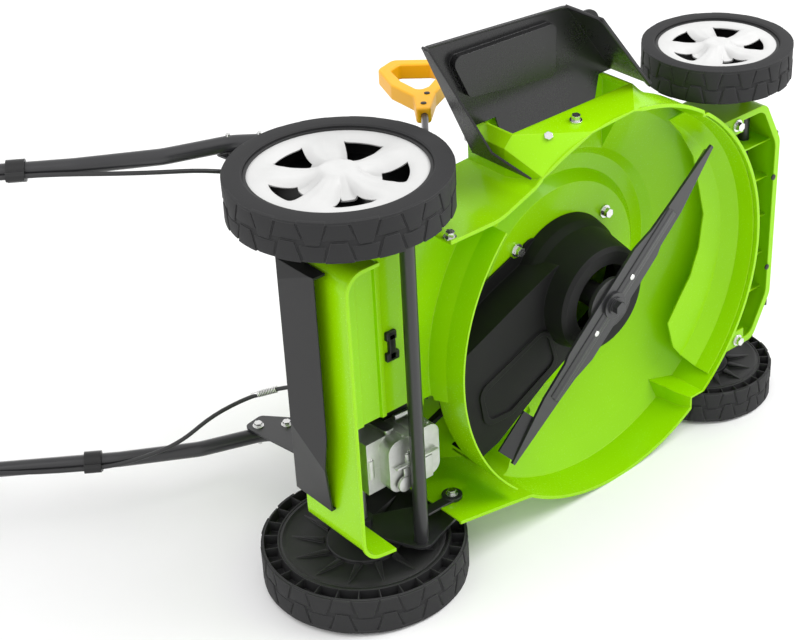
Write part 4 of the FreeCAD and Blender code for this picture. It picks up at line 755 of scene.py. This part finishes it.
for step in range(fin_count):
    fin_place = (case_low.x - 0.0008, first_fin + step * fin_pitch, 0.100)
    plates.append(slab((0.003, 0.0035, 0.040), fin_place, 0.0, 0.001))
finished("gearbox_plate", together(plates), "gearbox_cover", cast_aluminium, stands_for=False)

strap_pin_y, strap_pin_z = 0.262, 0.085
strap = [
    slab((0.004, 0.060, 0.016), (0.2115, 0.284, 0.081), 0.0, 0.0015),
    disc((0.2135, strap_pin_y, strap_pin_z), (-1, 0, 0), 0.014, 0.005),
]
finished("bar_strap", together(strap), "rear_arms", black_steel, stands_for=False)
finished(
    "bar_nut", together(hex_screw((0.2085, strap_pin_y, strap_pin_z), (-1, 0, 0), 0.0062)),
    "rear_arms", bright_zinc, stands_for=False,
)
print("blade, gearbox and linkage details made")

# %% [markdown]
# ## Chute, bumper, panel, grip and cable
# The chute's mouth ends in a rolled rim. The bumper has two black trims and two dark
# screws, the rear panel a small black clip, and the lever's grip two dark screws. A cable
# leaves the panel through a bright ferrule with a short coil spring.

# %% Trims, clip, screws and ferrule
rim_path = rounded_path([
    (-0.2845, -0.079, 0.064), (-0.394, 0.002, 0.071), (-0.395, 0.002, 0.1345), (-0.411, 0.2385, 0.1345),
    (-0.411, 0.2385, 0.1235),
], 0.009)
finished("chute_rim", tube(rim_path, 0.0022), "side_chute", black_gloss, stands_for=False)

trim_y, trim_z, bumper_foot, clip_z = -0.3315, 0.062, 0.0455, 0.0865
trims = [
    slab((0.046, 0.004, 0.024), (-0.112, trim_y, trim_z), 0.0, 0.0015),
    slab((0.056, 0.004, 0.024), (0.123, trim_y, trim_z), 0.0, 0.0015),
    disc((-0.068, -0.321, bumper_foot), (0, 0, -1), 0.0042, 0.002),
    disc((0.078, -0.320, bumper_foot), (0, 0, -1), 0.0042, 0.002),
    slab((0.036, 0.010, 0.006), (-0.064, 0.349, clip_z), 0.0, 0.0012),
    slab((0.012, 0.020, 0.006), (-0.050, 0.349, clip_z), 0.0, 0.0012),
    slab((0.012, 0.016, 0.006), (-0.080, 0.350, clip_z), 0.0, 0.0012),
]
finished("black_trims", together(trims), "discharge_ramp", black_moulding, stands_for=False)

grip_side = -0.2855
grip_screw_places = ((0.142, 0.246), (0.165, 0.226))
grip_screws = [disc((grip_side, y, z), (-1, 0, 0), 0.0038, 0.0016) for y, z in grip_screw_places]
finished("grip_screws", together(grip_screws), "lever_grip", black_moulding, stands_for=False)

ferrule_start, ferrule_end = Vector((0.166, 0.352, 0.410)), Vector((0.150, 0.320, 0.375))
way = (ferrule_end - ferrule_start).normalized()
across = way.cross(Vector((0, 0, 1))).normalized()
other = way.cross(across)
coil_turns, coil_steps, coil_radius = 12, 14, 0.0042
coil_start, coil_length = 0.010, 0.030
coil = []
for i in range(coil_steps * coil_turns + 1):
    angle = i / coil_steps * math.tau
    spot = ferrule_start + way * (coil_start + coil_length * i / (coil_steps * coil_turns))
    coil.append(spot + (across * math.cos(angle) + other * math.sin(angle)) * coil_radius)
finished(
    "cable_ferrule", together([disc(ferrule_start, way, 0.0046, 0.012, 32), tube(coil, 0.0009)]),
    "control_cables", bright_zinc, stands_for=False,
)
print("trims, clip, screws and ferrule made")

# %% [markdown]
# ## Stage
# The mower lies on its left wheels, so its floor is a plane that touches both of them. That
# plane is seen from its upper side only: from behind it lets light and views through, so
# it never hides the mower from other sides. A second plane of the same finish lies under
# the wheels at z = 0 and takes no part in the light. Three soft lamps and a white world
# light the rest.

# %% Floor and light
def one_sided(name, tone):
    """A pale floor that is clear from its lower side."""
    finish = Finish(name)
    behind = finish.add("ShaderNodeNewGeometry", output="Backfacing")
    grain = finish.noise(30.0, 2.0)
    colour = finish.mix(grain, shade(tone, 0.99), tone)
    matt = finish.add("ShaderNodeBsdfPrincipled", {}, {
        "Base Color": colour, "Roughness": 0.9, "Specular IOR Level": 0.1,
    })
    clear = finish.add("ShaderNodeBsdfTransparent")
    finish.add("ShaderNodeOutputMaterial", {}, {
        "Surface": finish.add("ShaderNodeMixShader", {}, {0: behind, 1: matt, 2: clear}),
    })
    return finish.material


def plane(name, centre, normal, size, material):
    """A square floor facing along normal."""
    work = bmesh.new()
    bmesh.ops.create_grid(work, x_segments=1, y_segments=1, size=size)
    work.transform(Matrix.Translation(centre) @ normal.to_track_quat("Z", "Y").to_matrix().to_4x4())
    mesh = bpy.data.meshes.new(name)
    work.to_mesh(mesh)
    work.free()
    piece = bpy.data.objects.new(name, mesh)
    scene.collection.objects.link(piece)
    dress(piece, material)
    return piece


def outer_middle(tyre):
    """The middle of a left tyre's outer side."""
    low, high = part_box(tyre)
    return Vector((high.x, (low.y + high.y) / 2, (low.z + high.z) / 2))


rear_touch = outer_middle("rear_left_tyre")
along = (rear_touch - outer_middle("front_left_tyre")).normalized()
side_normal = along.cross(Vector((0, 0, 1))).normalized()
if side_normal.x > 0:
    side_normal.negate()
pale = one_sided("pale_floor", (0.93, 0.93, 0.93))
floor_gap, floor_size, upwards = 0.001, 6.0, Vector((0, 0, 1))
plane("side_floor", rear_touch - side_normal * floor_gap, side_normal, floor_size, pale)
rest_floor = plane("rest_floor", Vector((0, 0, -floor_gap)), upwards, floor_size, pale)
for kind_of_ray in ("shadow", "diffuse", "glossy", "transmission"):
    setattr(rest_floor, f"visible_{kind_of_ray}", False)
print("side floor faces", [round(share, 3) for share in side_normal])


def lamp(name, place, aim, size, power):
    """A large soft square lamp."""
    data = bpy.data.lights.new(name, "AREA")
    data.shape = "SQUARE"
    data.size = size
    data.energy = power
    piece = bpy.data.objects.new(name, data)
    direction = Vector(aim) - Vector(place)
    piece.matrix_world = Matrix.Translation(place) @ direction.to_track_quat("-Z", "Y").to_matrix().to_4x4()
    scene.collection.objects.link(piece)


middle = Vector((0.0, 0.1, 0.15))
lamp("key", (-2.2, -1.2, -1.0), middle, 1.6, 42.0)
lamp("fill", (-1.6, 2.2, 0.6), middle, 2.0, 14.0)
lamp("top", (0.8, -0.6, 2.6), middle, 2.0, 22.0)
world = bpy.data.worlds.new("studio")
world.use_nodes = True
background = world.node_tree.nodes["Background"]
background.inputs["Color"].default_value = (1.0, 1.0, 1.0, 1.0)
background.inputs["Strength"].default_value = 1.0
scene.world = world
print("stage ready")
